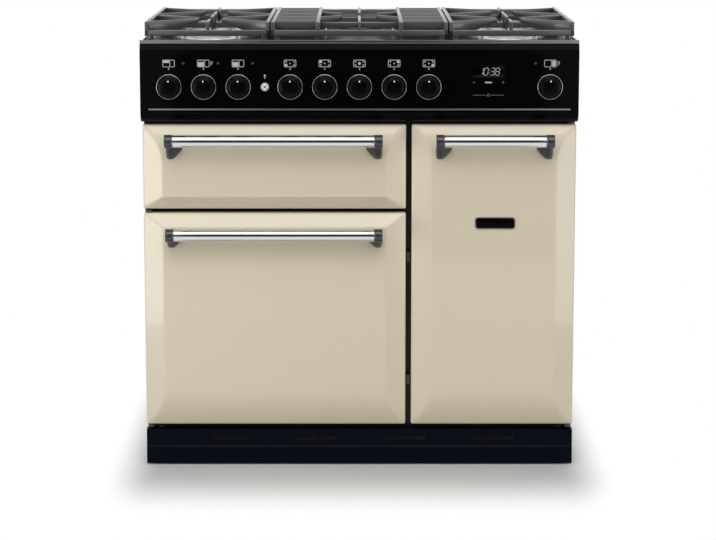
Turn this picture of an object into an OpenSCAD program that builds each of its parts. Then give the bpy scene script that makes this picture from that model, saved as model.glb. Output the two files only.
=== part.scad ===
// Freestanding dual fuel range cooker: five gas burners over two ovens and a grill drawer.
// X runs to the right seen from the front, Y to the back and Z up, in millimetres.
// The origin lies on the floor, below the middle of the whole cooker with its handles.

/* [Overall] */
// Width over the ends of the control panel
cooker_w = 900; // [890:1:1000]
// Depth from the rear edges of the side panels to the front of the doors
body_d = 597; // [590:1:640]
// Depth kept free behind the back panel for the gas and cable connections
service_d = 40; // [36:1:50]
// Gap between the floor and the plinth
floor_gap = 3; // [2:1:8]
// Height of the plinth's front
plinth_h = 73; // [70:1:90]
// Height of the dark recess between the plinth and the doors
plinth_gap = 10.5; // [10:0.5:16]
// Distance that the doors and the plinth stay inside the ends of the control panel
side_inset = 2; // [1:0.5:4]
// Thickness of the outer sheet metal
sheet_t = 2; // [1.5:0.1:2.5]
// Gap between pieces that are screwed flat against each other
seat = 0.2; // [0.1:0.05:0.3]

/* [Doors] */
// Width of the left oven door and of the grill drawer
left_door_w = 544.5; // [530:0.5:560]
// Height of the left oven door
left_door_h = 449.5; // [430:0.5:470]
// Height of the grill drawer's front
drawer_h = 176; // [172:1:190]
// Gap between the drawer and the left oven door
drawer_gap = 8.5; // [8.5:0.5:12]
// Gap between the left and the right doors
middle_gap = 11.5; // [10:0.5:14]
// Gap between the doors and the control panel
panel_gap = 5.5; // [5.5:0.5:9]
// Depth of the flat edge round each door
door_edge_t = 20; // [20:1:26]
// Depth by which the middle of a door stands proud of its rim
pillow_d = 20; // [16:1:24]
// Width of the bevels down the sides of each door
side_bevel_w = 42; // [36:1:48]
// Height of the short sharp bevels
sharp_bevel_h = 28; // [24:1:32]
// Height of the rounded ends
roll_h = 84; // [70:1:90]
// Radius of a door's corners seen from the front
door_corner_r = 4; // [2:0.5:6]
// Gap between the backs of the doors and the front frame
seal_gap = 5; // [4.5:0.5:7]
// Opening angle of the doors
door_open = 110; // [90:5:115]

/* [Handles] */
// Diameter of the handle bars
bar_d = 25; // [22:1:28]
// Distance from the front of a door to the front of its handle
handle_reach = 53; // [50:1:60]
// Distance from a door's side to the end of its handle
handle_inset = 49; // [44:1:56]
// Width of the end brackets
bracket_w = 16; // [14:1:20]
// Distance from the top of the drawer and of the right door to their handle bars
high_bar_drop = 29; // [26:1:34]
// Distance from the top of the left door to its handle bar
low_bar_drop = 39; // [36:1:44]
// Size of the foot that each bracket stands on
foot_size = 24; // [20:1:28]

/* [Hinges] */
// Distance from a door's side to its hinge pins
hinge_inset = 10; // [9:0.5:12]
// Distance from a door's back to its hinge pins
hinge_setback = 13; // [11:0.5:13.5]
// Diameter of the hinge pins
hinge_pin_d = 8; // [6:0.5:9]
// Depth that each hinge pin reaches into the door
hinge_pin_l = 16; // [12:1:22]
// Radial clearance of hinge pins, spindles and shafts
running_fit = 0.05; // [0.03:0.01:0.08]

/* [Control panel] */
// Height of the control panel
panel_h = 162; // [156:1:175]
// Distance that the panel's face stands in front of the doors
panel_proud = 4; // [2:1:8]
// Height of the sloped band along the panel's top
panel_band_h = 20; // [16:1:26]
// Depth of the sloped band
panel_band_d = 6; // [4:1:9]
// Radius of the rolled lip along the panel's bottom
panel_lip_r = 24; // [20:1:28]
// Wall of the control panel
panel_wall = 3; // [2:0.5:4]
// Height of the chrome line above the panel's bottom
line_rise = 26; // [25:1:30]
// Distance from the ends of the chrome line to the ends of the panel
line_inset = 17; // [10:1:24]

/* [Knobs] */
// Distance between neighbouring knobs
knob_pitch = 71; // [68:1:74]
// Distance from the outer knobs to the ends of the panel
knob_inset = 59.5; // [54:0.5:64]
// Height of the knobs above the panel's bottom
knob_rise = 74; // [70:1:78]
// Diameter of the chrome rings round the knobs
bezel_d = 53; // [51:1:56]
// Diameter of the knobs at the panel
knob_d = 46; // [42:1:48]
// Length of the knobs
knob_l = 22; // [18:1:26]
// Diameter of the spindles
spindle_d = 8; // [6:1:9]
// Length of spindle inside each knob
spindle_grip = 13; // [10:1:15]
// Diameter of the oven light button
button_d = 14; // [12:1:16]
// Travel of the oven light button
button_travel = 2; // [1.5:0.5:3]
// Width of the clock's window
clock_w = 65; // [60:1:70]
// Height of the clock's window
clock_h = 25; // [22:1:28]

/* [Ovens] */
// Margin from a door's sides to the oven's opening
oven_margin_x = 45; // [44:1:52]
// Margin from a door's top and bottom to the oven's opening
oven_margin_z = 30; // [29:1:36]
// Depth of the ovens from the frame to the fan cover
oven_d = 400; // [380:1:405]
// Space behind each fan cover
fan_space = 40; // [38:1:46]
// Wall of the oven liners and of the grill chamber
liner_t = 2; // [1.5:0.5:2.5]
// Radius of the corners inside the ovens
oven_corner_r = 20; // [14:1:26]
// Thickness of the insulation
wool_t = 22; // [16:1:24]
// Margin from the drawer's top and bottom to the grill chamber
chamber_margin_z = 15; // [14:1:18]
// Thickness of the front frame
frame_t = 3; // [2:0.5:4]
// Width of the oven door seals
seal_w = 10; // [8:1:12]
// Travel of the grill drawer
drawer_travel = 360; // [300:5:370]
// Diameter of the fans
fan_d = 150; // [130:1:160]
// Number of blades on each fan
fan_blades = 12; // [8:1:16]
// Number of wire shelves in the left oven
left_shelves = 2; // [1:1:3]
// Number of wire shelves in the right oven
right_shelves = 3; // [1:1:3]

/* [Hob] */
// Height of the pan supports above the hotplate
support_h = 40; // [36:1:46]
// Depth of the pan supports
support_d = 500; // [480:1:505]
// Width of the left and the right pan supports
side_support_w = 257; // [250:1:262]
// Gap between neighbouring pan supports
support_gap = 3; // [2:0.5:5]
// Thickness of the cast bars
cast_t = 8; // [6:1:10]
// Distance that the pan supports can be lifted
support_lift = 80; // [60:5:120]
// Radius of the wells under the corner burners
well_r = 78; // [74:1:84]
// Radius of the well under the centre burner
centre_well_r = 96; // [90:1:104]
// Depth of the wells
well_depth = 5; // [3:1:7]
// Diameter of the corner burners
burner_d = 112; // [100:1:120]
// Diameter of the centre burner
centre_burner_d = 136; // [128:1:144]
// Diameter of the gas inlet, half inch pipe thread
inlet_d = 21; // [20.8:0.1:21.2]
// Diameter of the cable entry
cable_entry_d = 20; // [16:1:22]

/* [Hidden] */

$fn = 48;
// Overlap that keeps a cut clear of the faces that it opens
cut = 1;

// Depths, from the back of the cooker to its front
back_y = (body_d + handle_reach) / 2;
door_front_y = back_y - body_d;
door_depth = door_edge_t + pillow_d;
door_back_y = door_front_y + door_depth;
frame_y = door_back_y + seal_gap;
liner_y = frame_y + frame_t + seat;
panel_face_y = door_front_y - panel_proud;
panel_depth = frame_y - panel_face_y;
back_panel_y = back_y - service_d - sheet_t;

// Heights, from the floor up
plinth_top = floor_gap + plinth_h;
door_z = plinth_top + plinth_gap;
drawer_z = door_z + left_door_h + drawer_gap;
right_door_h = left_door_h + drawer_gap + drawer_h;
panel_z = door_z + right_door_h + panel_gap;
panel_top = panel_z + panel_h;
hob_z = panel_top + seat + sheet_t;
hob_lip_h = 3;
deck_z = plinth_top + sheet_t;

// Places across the front
half_w = cooker_w / 2;
door_edge_x = half_w - side_inset;
side_x = door_edge_x - 1;
right_door_w = 2 * door_edge_x - left_door_w - middle_gap;
left_x = left_door_w / 2 - door_edge_x;
right_x = door_edge_x - right_door_w / 2;
middle_x = left_door_w - door_edge_x + middle_gap / 2;

// Ovens and grill chamber, each centred behind its door
left_oven_w = left_door_w - 2 * oven_margin_x;
left_oven_h = left_door_h - 2 * oven_margin_z;
right_oven_w = right_door_w - 2 * oven_margin_x;
right_oven_h = right_door_h - 2 * oven_margin_z;
chamber_h = drawer_h - 2 * chamber_margin_z;
left_oven_z = door_z + left_door_h / 2;
right_oven_z = door_z + right_door_h / 2;
chamber_z = drawer_z + drawer_h / 2;
liner_depth = oven_d + fan_space;
liner_back_y = liner_y + liner_depth + liner_t;
cover_y = liner_y + oven_d;
chamber_corner_r = 8;
flange_w = 12;

// Radius of the round collars at the ends of the handle bars
collar_r = bar_d / 2 + 1;

// Controls
knob_z = panel_z + knob_rise;
outer_knob_x = half_w - knob_inset;
left_knobs = [for (i = [0:2]) i * knob_pitch - outer_knob_x];
gas_knobs = [for (i = [-2:2]) i * knob_pitch];
button_x = (left_knobs[2] + gas_knobs[0]) / 2 + 1.5;
bezel_h = 4;
bezel_wall = 3;
knob_gap = 0.6;
lamp_d = 5;
lamp_side = 30;
lamp_rise = 48;
lamp_proud = 1;
lamps = [for (x = left_knobs) x + lamp_side, outer_knob_x - lamp_side];
clock_x = (gas_knobs[4] + outer_knob_x) / 2 - 2;
clock_z = knob_z + 31.5;
clock_glass_t = 1.5;
clock_proud = 0.4;

// Burners, as place across, place in depth, base diameter and well radius
support_front_y = panel_face_y + 39;
support_mid_y = support_front_y + support_d / 2;
side_support_x = half_w - 8 - side_support_w / 2;
centre_support_w = 2 * (side_support_x - side_support_w / 2 - support_gap);
burner_dy = support_d / 4;
burners = [
    [-side_support_x, support_mid_y - burner_dy, burner_d, well_r],
    [-side_support_x, support_mid_y + burner_dy, burner_d, well_r],
    [0, support_mid_y, centre_burner_d, centre_well_r],
    [side_support_x, support_mid_y + burner_dy, burner_d, well_r],
    [side_support_x, support_mid_y - burner_dy, burner_d, well_r]];
burner_stem_r = 9;
well_z = hob_z - well_depth;
burner_h = 16;
cap_h = 6;
support_top = hob_z + support_h;
low_bar_z = hob_z + 11;
low_bar_h = 12;

// Rounded rectangle centred on the origin
module rounded_plate(w, h, r) {
    square([w - 2 * r, h], center = true);
    square([w, h - 2 * r], center = true);
    for (x = [-1, 1])
        for (y = [-1, 1])
            translate([x * (w / 2 - r), y * (h / 2 - r)])
                circle(r);
}

// Upright rounded plate, centred in X and Z, whose front is at Y = 0
module upright_plate(w, h, r, t) {
    translate([0, t, 0])
        rotate([90, 0, 0])
            linear_extrude(t)
                rounded_plate(w, h, r);
}

// Cylinder along Y from y = 0 towards the back
module rod_y(r, l) {
    rotate([-90, 0, 0])
        cylinder(r = r, h = l);
}

// Cylinder along X from x = 0 to the right
module rod_x(r, l) {
    rotate([0, 90, 0])
        cylinder(r = r, h = l);
}

// Box given by its lowest corner and its size
module block(corner, size) {
    translate(corner)
        cube(size);
}

// What is cut from a door's square section at its bottom, in depth and height
module end_cut(depth, rise, rolled) {
    roll_r = (rise * rise + pillow_d * pillow_d) / (2 * pillow_d);
    slope = pillow_d / rise;
    if (rolled)
        difference() {
            translate([depth - pillow_d - 2, -cut])
                square([pillow_d + 2 + cut, rise + cut]);
            translate([depth - roll_r, rise])
                circle(roll_r, $fn = 180);
        }
    else
        polygon([[depth - pillow_d - cut * slope, -cut], [depth + cut * slope, -cut],
            [depth + cut * slope, rise + cut]]);
}

// Solid door form: its back is at Y = 0, its bottom at Z = 0, and its sides are bevelled
module pillow(w, h, depth, bottom_rolled, top_rolled) {
    bottom_rise = bottom_rolled ? roll_h : sharp_bevel_h;
    top_rise = top_rolled ? roll_h : sharp_bevel_h;
    intersection() {
        linear_extrude(h)
            polygon([[-w / 2, 0], [-w / 2, pillow_d - depth], [side_bevel_w - w / 2, -depth],
                [w / 2 - side_bevel_w, -depth], [w / 2, pillow_d - depth], [w / 2, 0]]);
        translate([-w / 2, 0, 0])
            rotate([90, 0, 90])
                linear_extrude(w)
                    mirror([1, 0])
                        difference() {
                            square([depth, h]);
                            end_cut(depth, bottom_rise, bottom_rolled);
                            translate([0, h])
                                mirror([0, 1])
                                    end_cut(depth, top_rise, top_rolled);
                        }
        translate([0, -depth, h / 2])
            upright_plate(w, h, door_corner_r, depth);
    }
}

// Pressed door skin, open at the back
module door_skin(w, h, bottom_rolled, top_rolled) {
    difference() {
        pillow(w, h, door_depth, bottom_rolled, top_rolled);
        translate([0, cut, sheet_t])
            pillow(w - 2 * sheet_t, h - 2 * sheet_t, door_depth - sheet_t + cut, bottom_rolled, top_rolled);
    }
}

// Clearance bores for the hinge pins in the top and bottom walls of a door
module hinge_bores(w, h, side, r) {
    translate([side * (w / 2 - hinge_inset), -hinge_setback, -cut])
        cylinder(r = r, h = h + 2 * cut);
}

// Tray that closes the back of a door, with hinge bosses and a raised panel inside the seal
module door_tray(w, h, side) {
    tray_w = w - 2 * (sheet_t + seat);
    tray_h = h - 2 * (sheet_t + seat);
    tray_t = 3;
    wall_t = 1.5;
    raised_w = w - 2 * oven_margin_x - 8;
    raised_h = h - 2 * oven_margin_z - 8;
    raised_t = 2.5;
    tray_d = door_edge_t - sheet_t - 1;
    boss_r = hinge_inset - sheet_t - 1;
    boss_start = sheet_t + 4;
    boss_h = hinge_pin_l + 4 - boss_start;
    difference() {
        union() {
            difference() {
                translate([0, -tray_d, h / 2])
                    upright_plate(tray_w, tray_h, door_corner_r, tray_d);
                translate([0, -tray_d - cut, h / 2])
                    upright_plate(tray_w - 2 * wall_t, tray_h - 2 * wall_t, door_corner_r,
                        tray_d - tray_t + cut);
            }
            translate([0, -cut, h / 2])
                upright_plate(raised_w, raised_h, oven_corner_r - 4, raised_t + cut);
            for (z = [boss_start, h - boss_start - boss_h])
                translate([side * (w / 2 - hinge_inset), 0, z]) {
                    translate([0, -hinge_setback, 0])
                        cylinder(r = boss_r, h = boss_h);
                    block([-boss_r, -hinge_setback, 0],
                        [2 * boss_r, hinge_setback - tray_t + cut / 2, boss_h]);
                }
        }
        hinge_bores(w, h, side, hinge_pin_d / 2 + running_fit);
    }
}

// Round handle bar between its two brackets
module handle_bar(w, z) {
    bar_l = w - 2 * handle_inset - 2 * bracket_w;
    translate([-bar_l / 2, collar_r - handle_reach - door_depth, z])
        rod_x(bar_d / 2, bar_l);
}

// End brackets: a collar block at the bar and a foot on the door, down and inward from it
module handle_brackets(w, h, z, foot_drop, bottom_rolled, top_rolled) {
    foot_in = 10;
    neck_r = bar_d / 2 - 3;
    difference() {
        for (side = [-1, 1]) {
            end_x = side * (w / 2 - handle_inset - bracket_w / 2);
            translate([end_x - bracket_w / 2, collar_r - handle_reach - door_depth, z])
                rod_x(collar_r, bracket_w);
            hull() {
                translate([end_x - bracket_w / 2, collar_r + 3 - handle_reach - door_depth, z - 2])
                    rod_x(neck_r, bracket_w, $fn = 32);
                translate([end_x - side * foot_in, -door_edge_t, z - foot_drop])
                    rotate([90, 0, 0])
                        cylinder(d = foot_size, h = door_depth - door_edge_t + 3, $fn = 32);
            }
        }
        pillow(w, h, door_depth + seat / 2, bottom_rolled, top_rolled);
        block([-w / 2, -door_edge_t - cut, z - 100], [w, door_edge_t, 200]);
        handle_bar(w, z);
    }
}

// Places a door's pieces on the cooker
module at_left_door() {
    translate([left_x, door_back_y, door_z])
        children();
}

module at_right_door() {
    translate([right_x, door_back_y, door_z])
        children();
}

module at_drawer() {
    translate([left_x, door_back_y, drawer_z])
        children();
}

left_bar_z = left_door_h - low_bar_drop;
right_bar_z = right_door_h - high_bar_drop;
drawer_bar_z = drawer_h - high_bar_drop;
left_foot_drop = 18;
high_foot_drop = 28;
skin_bore_r = hinge_pin_d / 2 + 0.4;

module left_door_skin() {
    color("#e3d9c3")
        at_left_door()
            difference() {
                door_skin(left_door_w, left_door_h, true, false);
                hinge_bores(left_door_w, left_door_h, -1, skin_bore_r);
            }
}

module left_door_inner() {
    color("#3a3c40")
        at_left_door()
            door_tray(left_door_w, left_door_h, -1);
}

module left_handle_bar() {
    color("#d8dadd")
        at_left_door()
            handle_bar(left_door_w, left_bar_z);
}

module left_handle_brackets() {
    color("#4a4a4c")
        at_left_door()
            handle_brackets(left_door_w, left_door_h, left_bar_z, left_foot_drop, true, false);
}

module right_door_skin() {
    color("#e3d9c3")
        at_right_door()
            difference() {
                door_skin(right_door_w, right_door_h, true, true);
                hinge_bores(right_door_w, right_door_h, 1, skin_bore_r);
            }
}

module right_door_inner() {
    color("#3a3c40")
        at_right_door()
            door_tray(right_door_w, right_door_h, 1);
}

module right_handle_bar() {
    color("#d8dadd")
        at_right_door()
            handle_bar(right_door_w, right_bar_z);
}

module right_handle_brackets() {
    color("#4a4a4c")
        at_right_door()
            handle_brackets(right_door_w, right_door_h, right_bar_z, high_foot_drop, true, true);
}

module drawer_front() {
    color("#e3d9c3")
        at_drawer()
            door_skin(left_door_w, drawer_h, false, true);
}

module drawer_handle_bar() {
    color("#d8dadd")
        at_drawer()
            handle_bar(left_door_w, drawer_bar_z);
}

module drawer_handle_brackets() {
    color("#4a4a4c")
        at_drawer()
            handle_brackets(left_door_w, drawer_h, drawer_bar_z, high_foot_drop, false, true);
}

// Telescopic runners: a fixed channel, a middle channel and a bar on the drawer
runner_h = 40;
runner_web = 2;
runner_gap = 0.4;
runner_l = oven_d - 10;
runner_outer_w = 6;
middle_h = runner_h - 2 * (runner_web + runner_gap);
middle_x0 = runner_web + runner_gap;
middle_w = 6;
inner_h = middle_h - 2 * (runner_web + runner_gap);
inner_x0 = middle_x0 + runner_web + runner_gap;
inner_w = 5;
runner_z = chamber_z - 14;
runner_y = liner_y + 2;
inner_y = door_back_y - 3;

// Channel that opens towards the middle of the drawer, on the left side
module channel(x0, w, h, l) {
    difference() {
        block([x0, 0, -h / 2], [w, l, h]);
        block([x0 + runner_web, -cut, runner_web - h / 2], [w, l + 2 * cut, h - 2 * runner_web]);
    }
}

// Puts a runner on both side walls of the grill chamber
module both_sides() {
    for (side = [0, 1])
        translate([left_x, 0, 0])
            mirror([side, 0, 0])
                translate([-left_oven_w / 2 + seat, 0, runner_z])
                    children();
}

module drawer_outer_runners() {
    color("#b9bbbe")
        both_sides()
            translate([0, runner_y, 0])
                channel(0, runner_outer_w, runner_h, runner_l);
}

module drawer_middle_runners() {
    color("#c9cbce")
        both_sides()
            translate([0, runner_y, 0])
                channel(middle_x0, middle_w, middle_h, runner_l);
}

carriage_t = 2;
carriage_x = inner_x0 + inner_w;
pan_w = left_oven_w - 2 * (seat + carriage_x + carriage_t + 1);
pan_d = oven_d - 40;
pan_h = 38;
pan_y = door_back_y + 12;
pan_wall = 2;
pan_z = runner_z - pan_h / 2 + 2;

module drawer_carriage() {
    plate_w = left_door_w - 2 * (sheet_t + seat);
    plate_h = drawer_h - 2 * (sheet_t + seat);
    ledge_w = 6;
    color("#9a9da1") {
        translate([left_x, door_back_y - 3, chamber_z])
            upright_plate(plate_w, plate_h, door_corner_r, 3);
        both_sides() {
            block([inner_x0, inner_y, -inner_h / 2], [inner_w, runner_l, inner_h]);
            block([carriage_x - cut / 2, inner_y, pan_z - runner_z - 2],
                [carriage_t + cut / 2, runner_l, pan_h - 2]);
            block([carriage_x, inner_y, pan_z - runner_z - 2], [ledge_w, runner_l, 1.8]);
        }
        block([left_x - left_oven_w / 2 + seat + carriage_x, inner_y + runner_l - 8, pan_z - 2],
            [left_oven_w - 2 * (seat + carriage_x), 8, 10]);
    }
}

module grill_pan() {
    color("#2c2e32")
        translate([left_x, pan_y + pan_d / 2, pan_z])
            difference() {
                linear_extrude(pan_h)
                    rounded_plate(pan_w, pan_d, 18);
                translate([0, 0, pan_wall])
                    linear_extrude(pan_h)
                        rounded_plate(pan_w - 2 * pan_wall, pan_d - 2 * pan_wall, 16);
            }
}

rack_wires = 17;
rack_wire_r = 1.8;
rack_side_r = 3;
rack_end_r = 2.6;
rack_leg_r = 2;
rack_leg_h = 20;
rack_margin = 8;

module grill_rack() {
    rack_w = pan_w - 2 * rack_margin;
    rack_d = pan_d - 2 * rack_margin;
    rack_z = pan_z + pan_wall + seat + rack_leg_h;
    end_y = rack_d / 2 - 2 * rack_side_r;
    color("#c4c6c9")
        translate([left_x, pan_y + pan_d / 2, rack_z]) {
            for (side = [-1, 1]) {
                translate([rack_side_r - rack_w / 2, side * end_y, 0])
                    rod_x(rack_end_r, rack_w - 2 * rack_side_r);
                translate([side * (rack_w / 2 - rack_side_r), -rack_d / 2, 0])
                    rod_y(rack_side_r, rack_d);
                for (y = [-1, 1])
                    translate([side * (rack_w / 2 - 30), y * end_y, -rack_leg_h])
                        cylinder(r = rack_leg_r, h = rack_leg_h);
            }
            for (i = [0:rack_wires - 1])
                translate([(i - (rack_wires - 1) / 2) * (rack_w - 30) / (rack_wires - 1), -end_y, 0])
                    rod_y(rack_wire_r, 2 * end_y);
        }
}

// Housing

module side_panels() {
    color("#17181b")
        for (side = [-1, 1])
            block([side > 0 ? side_x - sheet_t : -side_x, frame_y, floor_gap + 8],
                [sheet_t, back_y - frame_y, panel_top - floor_gap - 8]);
}

panel_inner_x = side_x - sheet_t - seat;
inlet_x = -side_x + 70;
inlet_y = back_y - service_d / 2 + 2;
rear_pipe_z = panel_z + 100;
pipe_r = 8;

module back_panel() {
    louvre_w = 60;
    louvre_h = 5;
    column_pitch = 150;
    column_shift = 40;
    row_pitch = 14;
    rows_z = panel_z - 90;
    color("#8f9296")
        difference() {
            block([-panel_inner_x, back_panel_y, deck_z + seat],
                [2 * panel_inner_x, sheet_t, panel_top - deck_z - 2 * seat]);
            for (column = [-2:2])
                for (row = [0:5])
                    block([column * column_pitch - louvre_w / 2 + column_shift, back_panel_y - cut,
                        rows_z + row * row_pitch],
                        [louvre_w, sheet_t + 2 * cut, louvre_h]);
            translate([inlet_x, back_panel_y - cut, rear_pipe_z])
                rod_y(pipe_r + seat, sheet_t + 2 * cut);
        }
}

rail_w = 30;
rail_h = 50;
rail_x = half_w - 50;
rail_z = plinth_top - rail_h;
foot_y = [frame_y + 37, back_panel_y - 20];
stud_r = 5;
foot_pad_r = 22;
foot_pad_h = 8;
nut_r = 9;
nut_h = 6;
stud_reach = 24;
foot_taper = 4;

module base_chassis() {
    color("#6e7074")
        difference() {
            union() {
                block([-panel_inner_x, frame_y + frame_t + seat, plinth_top],
                    [2 * panel_inner_x, back_y - service_d - frame_y - frame_t - seat, sheet_t]);
                for (side = [-1, 1])
                    block([side * rail_x - rail_w / 2, frame_y + frame_t + seat, rail_z],
                        [rail_w, back_panel_y - frame_y - frame_t - seat, rail_h + cut]);
                for (y = [foot_y[0] + 60, foot_y[1] - 60])
                    block([-rail_x, y - 12, rail_z + 20], [2 * rail_x, 24, rail_h - 20 + cut]);
            }
            for (side = [-1, 1])
                block([side * rail_x - rail_w / 2 + 2, frame_y - 10, rail_z + 3],
                    [rail_w - 4, body_d, rail_h - 3]);
            for (side = [-1, 1])
                for (y = foot_y)
                    translate([side * rail_x, y, rail_z - cut])
                        cylinder(r = stud_r + seat, h = 3 + 2 * cut);
        }
}

module levelling_feet() {
    color("#c9cbce")
        for (side = [-1, 1])
            for (y = foot_y)
                translate([side * rail_x, y, 0]) {
                    cylinder(r1 = foot_pad_r, r2 = foot_pad_r - foot_taper, h = foot_pad_h);
                    cylinder(r = stud_r, h = rail_z + stud_reach);
                    translate([0, 0, rail_z - seat - nut_h])
                        cylinder(r = nut_r, h = nut_h, $fn = 6);
                }
}

// Opening in the front frame behind a door
module frame_opening(x, z, w, h, r) {
    translate([x, frame_y - cut, z])
        upright_plate(w, h, r, frame_t + 2 * cut);
}

module front_frame() {
    frame_top = panel_z + 6;
    color("#1d1e21")
        difference() {
            block([-panel_inner_x, frame_y, plinth_top + seat],
                [2 * panel_inner_x, frame_t, frame_top - plinth_top - seat]);
            frame_opening(left_x, left_oven_z, left_oven_w, left_oven_h, oven_corner_r);
            frame_opening(right_x, right_oven_z, right_oven_w, right_oven_h, oven_corner_r);
            frame_opening(left_x, chamber_z, left_oven_w, chamber_h, chamber_corner_r);
        }
}

plinth_setback = 18;
plinth_y = door_front_y + plinth_setback;
plinth_crease_z = floor_gap + 37;
plinth_step = 3;
slot_inset = 166.8;
slot_pitch = 2 * (door_edge_x - slot_inset) / 3;
slot_l = 88;
slot_h = 10;
slot_z = plinth_crease_z + 16;

module plinth() {
    section = [[0, plinth_top], [sheet_t, plinth_top], [sheet_t, plinth_crease_z + 2],
        [sheet_t - plinth_step, plinth_crease_z - 2], [sheet_t - plinth_step, floor_gap],
        [-plinth_step, floor_gap], [-plinth_step, plinth_crease_z - 2], [0, plinth_crease_z + 2]];
    color("#101319") {
        difference() {
            translate([-door_edge_x, plinth_y, 0])
                rotate([90, 0, 90])
                    linear_extrude(2 * door_edge_x)
                        polygon(section);
            for (i = [-1.5:1:1.5])
                translate([i * slot_pitch, plinth_y - cut, slot_z])
                    upright_plate(slot_l, slot_h, 3, sheet_t + 2 * cut);
        }
        for (i = [-1.5:1:1.5])
            block([i * slot_pitch - slot_l / 2 - 3, plinth_y + sheet_t - 0.01, slot_z - slot_h / 2 - 3],
                [slot_l + 6, 6, 2]);
        for (side = [-1, 1]) {
            block([side * (door_edge_x - sheet_t / 2) - sheet_t / 2, plinth_y, floor_gap],
                [sheet_t, frame_y - plinth_y - seat, plinth_h]);
            block([side * rail_x - 1, plinth_y + sheet_t - cut / 2, rail_z + 5],
                [2, frame_y + frame_t - plinth_y - sheet_t + cut / 2, rail_h - 12]);
        }
        block([-door_edge_x, plinth_y, plinth_top - sheet_t],
            [2 * door_edge_x, frame_y - plinth_y - seat, sheet_t]);
    }
}

hob_front_y = panel_face_y + panel_band_d + 2;
hob_back_y = back_panel_y + sheet_t;
hob_half_w = half_w - 1;
hob_lip_w = 5;

module hotplate() {
    color("#2a2c2f")
        difference() {
            union() {
                block([-hob_half_w, hob_front_y, panel_top + seat],
                    [2 * hob_half_w, hob_back_y - hob_front_y, sheet_t + hob_lip_h]);
                for (b = burners)
                    translate([b[0], b[1], well_z - sheet_t])
                        cylinder(r = b[3] + sheet_t, h = well_depth + cut);
            }
            block([-hob_half_w + hob_lip_w, hob_front_y + hob_lip_w, hob_z],
                [2 * (hob_half_w - hob_lip_w), hob_back_y - hob_front_y - 2 * hob_lip_w, hob_lip_h + cut]);
            for (b = burners)
                translate([b[0], b[1], well_z]) {
                    cylinder(r = b[3], h = well_depth + cut);
                    translate([0, 0, -sheet_t - cut])
                        cylinder(r = burner_stem_r + 1, h = sheet_t + 2 * cut);
                }
        }
}

vent_h = 34;
vent_slots = 16;

module rear_vent() {
    vent_y = hob_back_y + seat;
    vent_d = back_y - vent_y;
    vent_slot_w = 30;
    color("#3a3c40")
        difference() {
            block([-hob_half_w, vent_y, panel_top + seat], [2 * hob_half_w, vent_d, vent_h]);
            block([-hob_half_w + sheet_t + 4, vent_y + sheet_t, panel_top + seat - cut],
                [2 * (hob_half_w - sheet_t - 4), vent_d - 2 * sheet_t, vent_h - sheet_t + cut]);
            for (i = [0:vent_slots - 1])
                translate([(i - (vent_slots - 1) / 2) * (2 * hob_half_w - 40) / vent_slots,
                    vent_y + vent_d / 2, panel_top])
                    linear_extrude(vent_h + 2 * cut)
                        rounded_plate(vent_slot_w, 8, 3);
        }
}

// Section of the control panel in depth and height, its front on the right
module panel_section(inset) {
    depth = panel_depth - inset;
    lip_r = panel_lip_r - inset;
    difference() {
        polygon([[-cut * sign(inset), inset], [depth, inset], [depth, panel_h - panel_band_h],
            [depth - panel_band_d, panel_h - inset], [-cut * sign(inset), panel_h - inset]]);
        translate([depth - lip_r, inset])
            difference() {
                translate([0, -cut])
                    square([lip_r + cut, lip_r + cut]);
                translate([0, lip_r])
                    circle(lip_r, $fn = 96);
            }
    }
}

// Round cut or piece that stands on the panel's face and points forward
module at_face(x, z) {
    translate([x, panel_face_y, z])
        rotate([90, 0, 0])
            children();
}

knobs_all = concat(left_knobs, gas_knobs, [outer_knob_x]);

module control_panel() {
    color("#0c0c0e")
        difference() {
            translate([-half_w, frame_y, panel_z])
                rotate([90, 0, 90])
                    linear_extrude(cooker_w)
                        mirror([1, 0])
                            panel_section(0);
            translate([-half_w + panel_wall, frame_y, panel_z])
                rotate([90, 0, 90])
                    linear_extrude(cooker_w - 2 * panel_wall)
                        mirror([1, 0])
                            panel_section(panel_wall);
            for (x = knobs_all)
                at_face(x, knob_z)
                    translate([0, 0, -panel_wall - cut])
                        cylinder(d = spindle_d + 4, h = panel_wall + 2 * cut);
            for (x = lamps)
                at_face(x, knob_z + lamp_rise)
                    translate([0, 0, -panel_wall - cut])
                        cylinder(d = lamp_d + 2 * seat, h = panel_wall + 2 * cut);
            at_face(button_x, knob_z)
                translate([0, 0, -panel_wall - cut])
                    cylinder(d = button_d + 1, h = panel_wall + 2 * cut);
            at_face(clock_x, clock_z)
                translate([0, 0, -clock_glass_t - seat])
                    linear_extrude(clock_glass_t + 2 * cut)
                        rounded_plate(clock_w + 2 * seat, clock_h + 2 * seat, 2);
        }
}

module panel_trim() {
    line_h = 3.5;
    line_t = 1.2;
    strip_h = 7;
    color("#c9cbcc") {
        block([-half_w + line_inset, panel_face_y - line_t, panel_z + line_rise],
            [cooker_w - 2 * line_inset, line_t, line_h]);
        block([-half_w, panel_face_y + panel_band_d, panel_top + seat],
            [cooker_w, 2 - seat, strip_h]);
    }
}

module knob_bezels() {
    color("#d8dadd") {
        for (x = knobs_all)
            at_face(x, knob_z)
                difference() {
                    cylinder(d = bezel_d, h = bezel_h);
                    translate([0, 0, -cut])
                        cylinder(d = bezel_d - 2 * bezel_wall, h = bezel_h + 2 * cut);
                }
        at_face(button_x, knob_z)
            difference() {
                cylinder(d = button_d + 5, h = 2.5);
                translate([0, 0, -cut])
                    cylinder(d = button_d + 1, h = 2.5 + 2 * cut);
            }
    }
}

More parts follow.
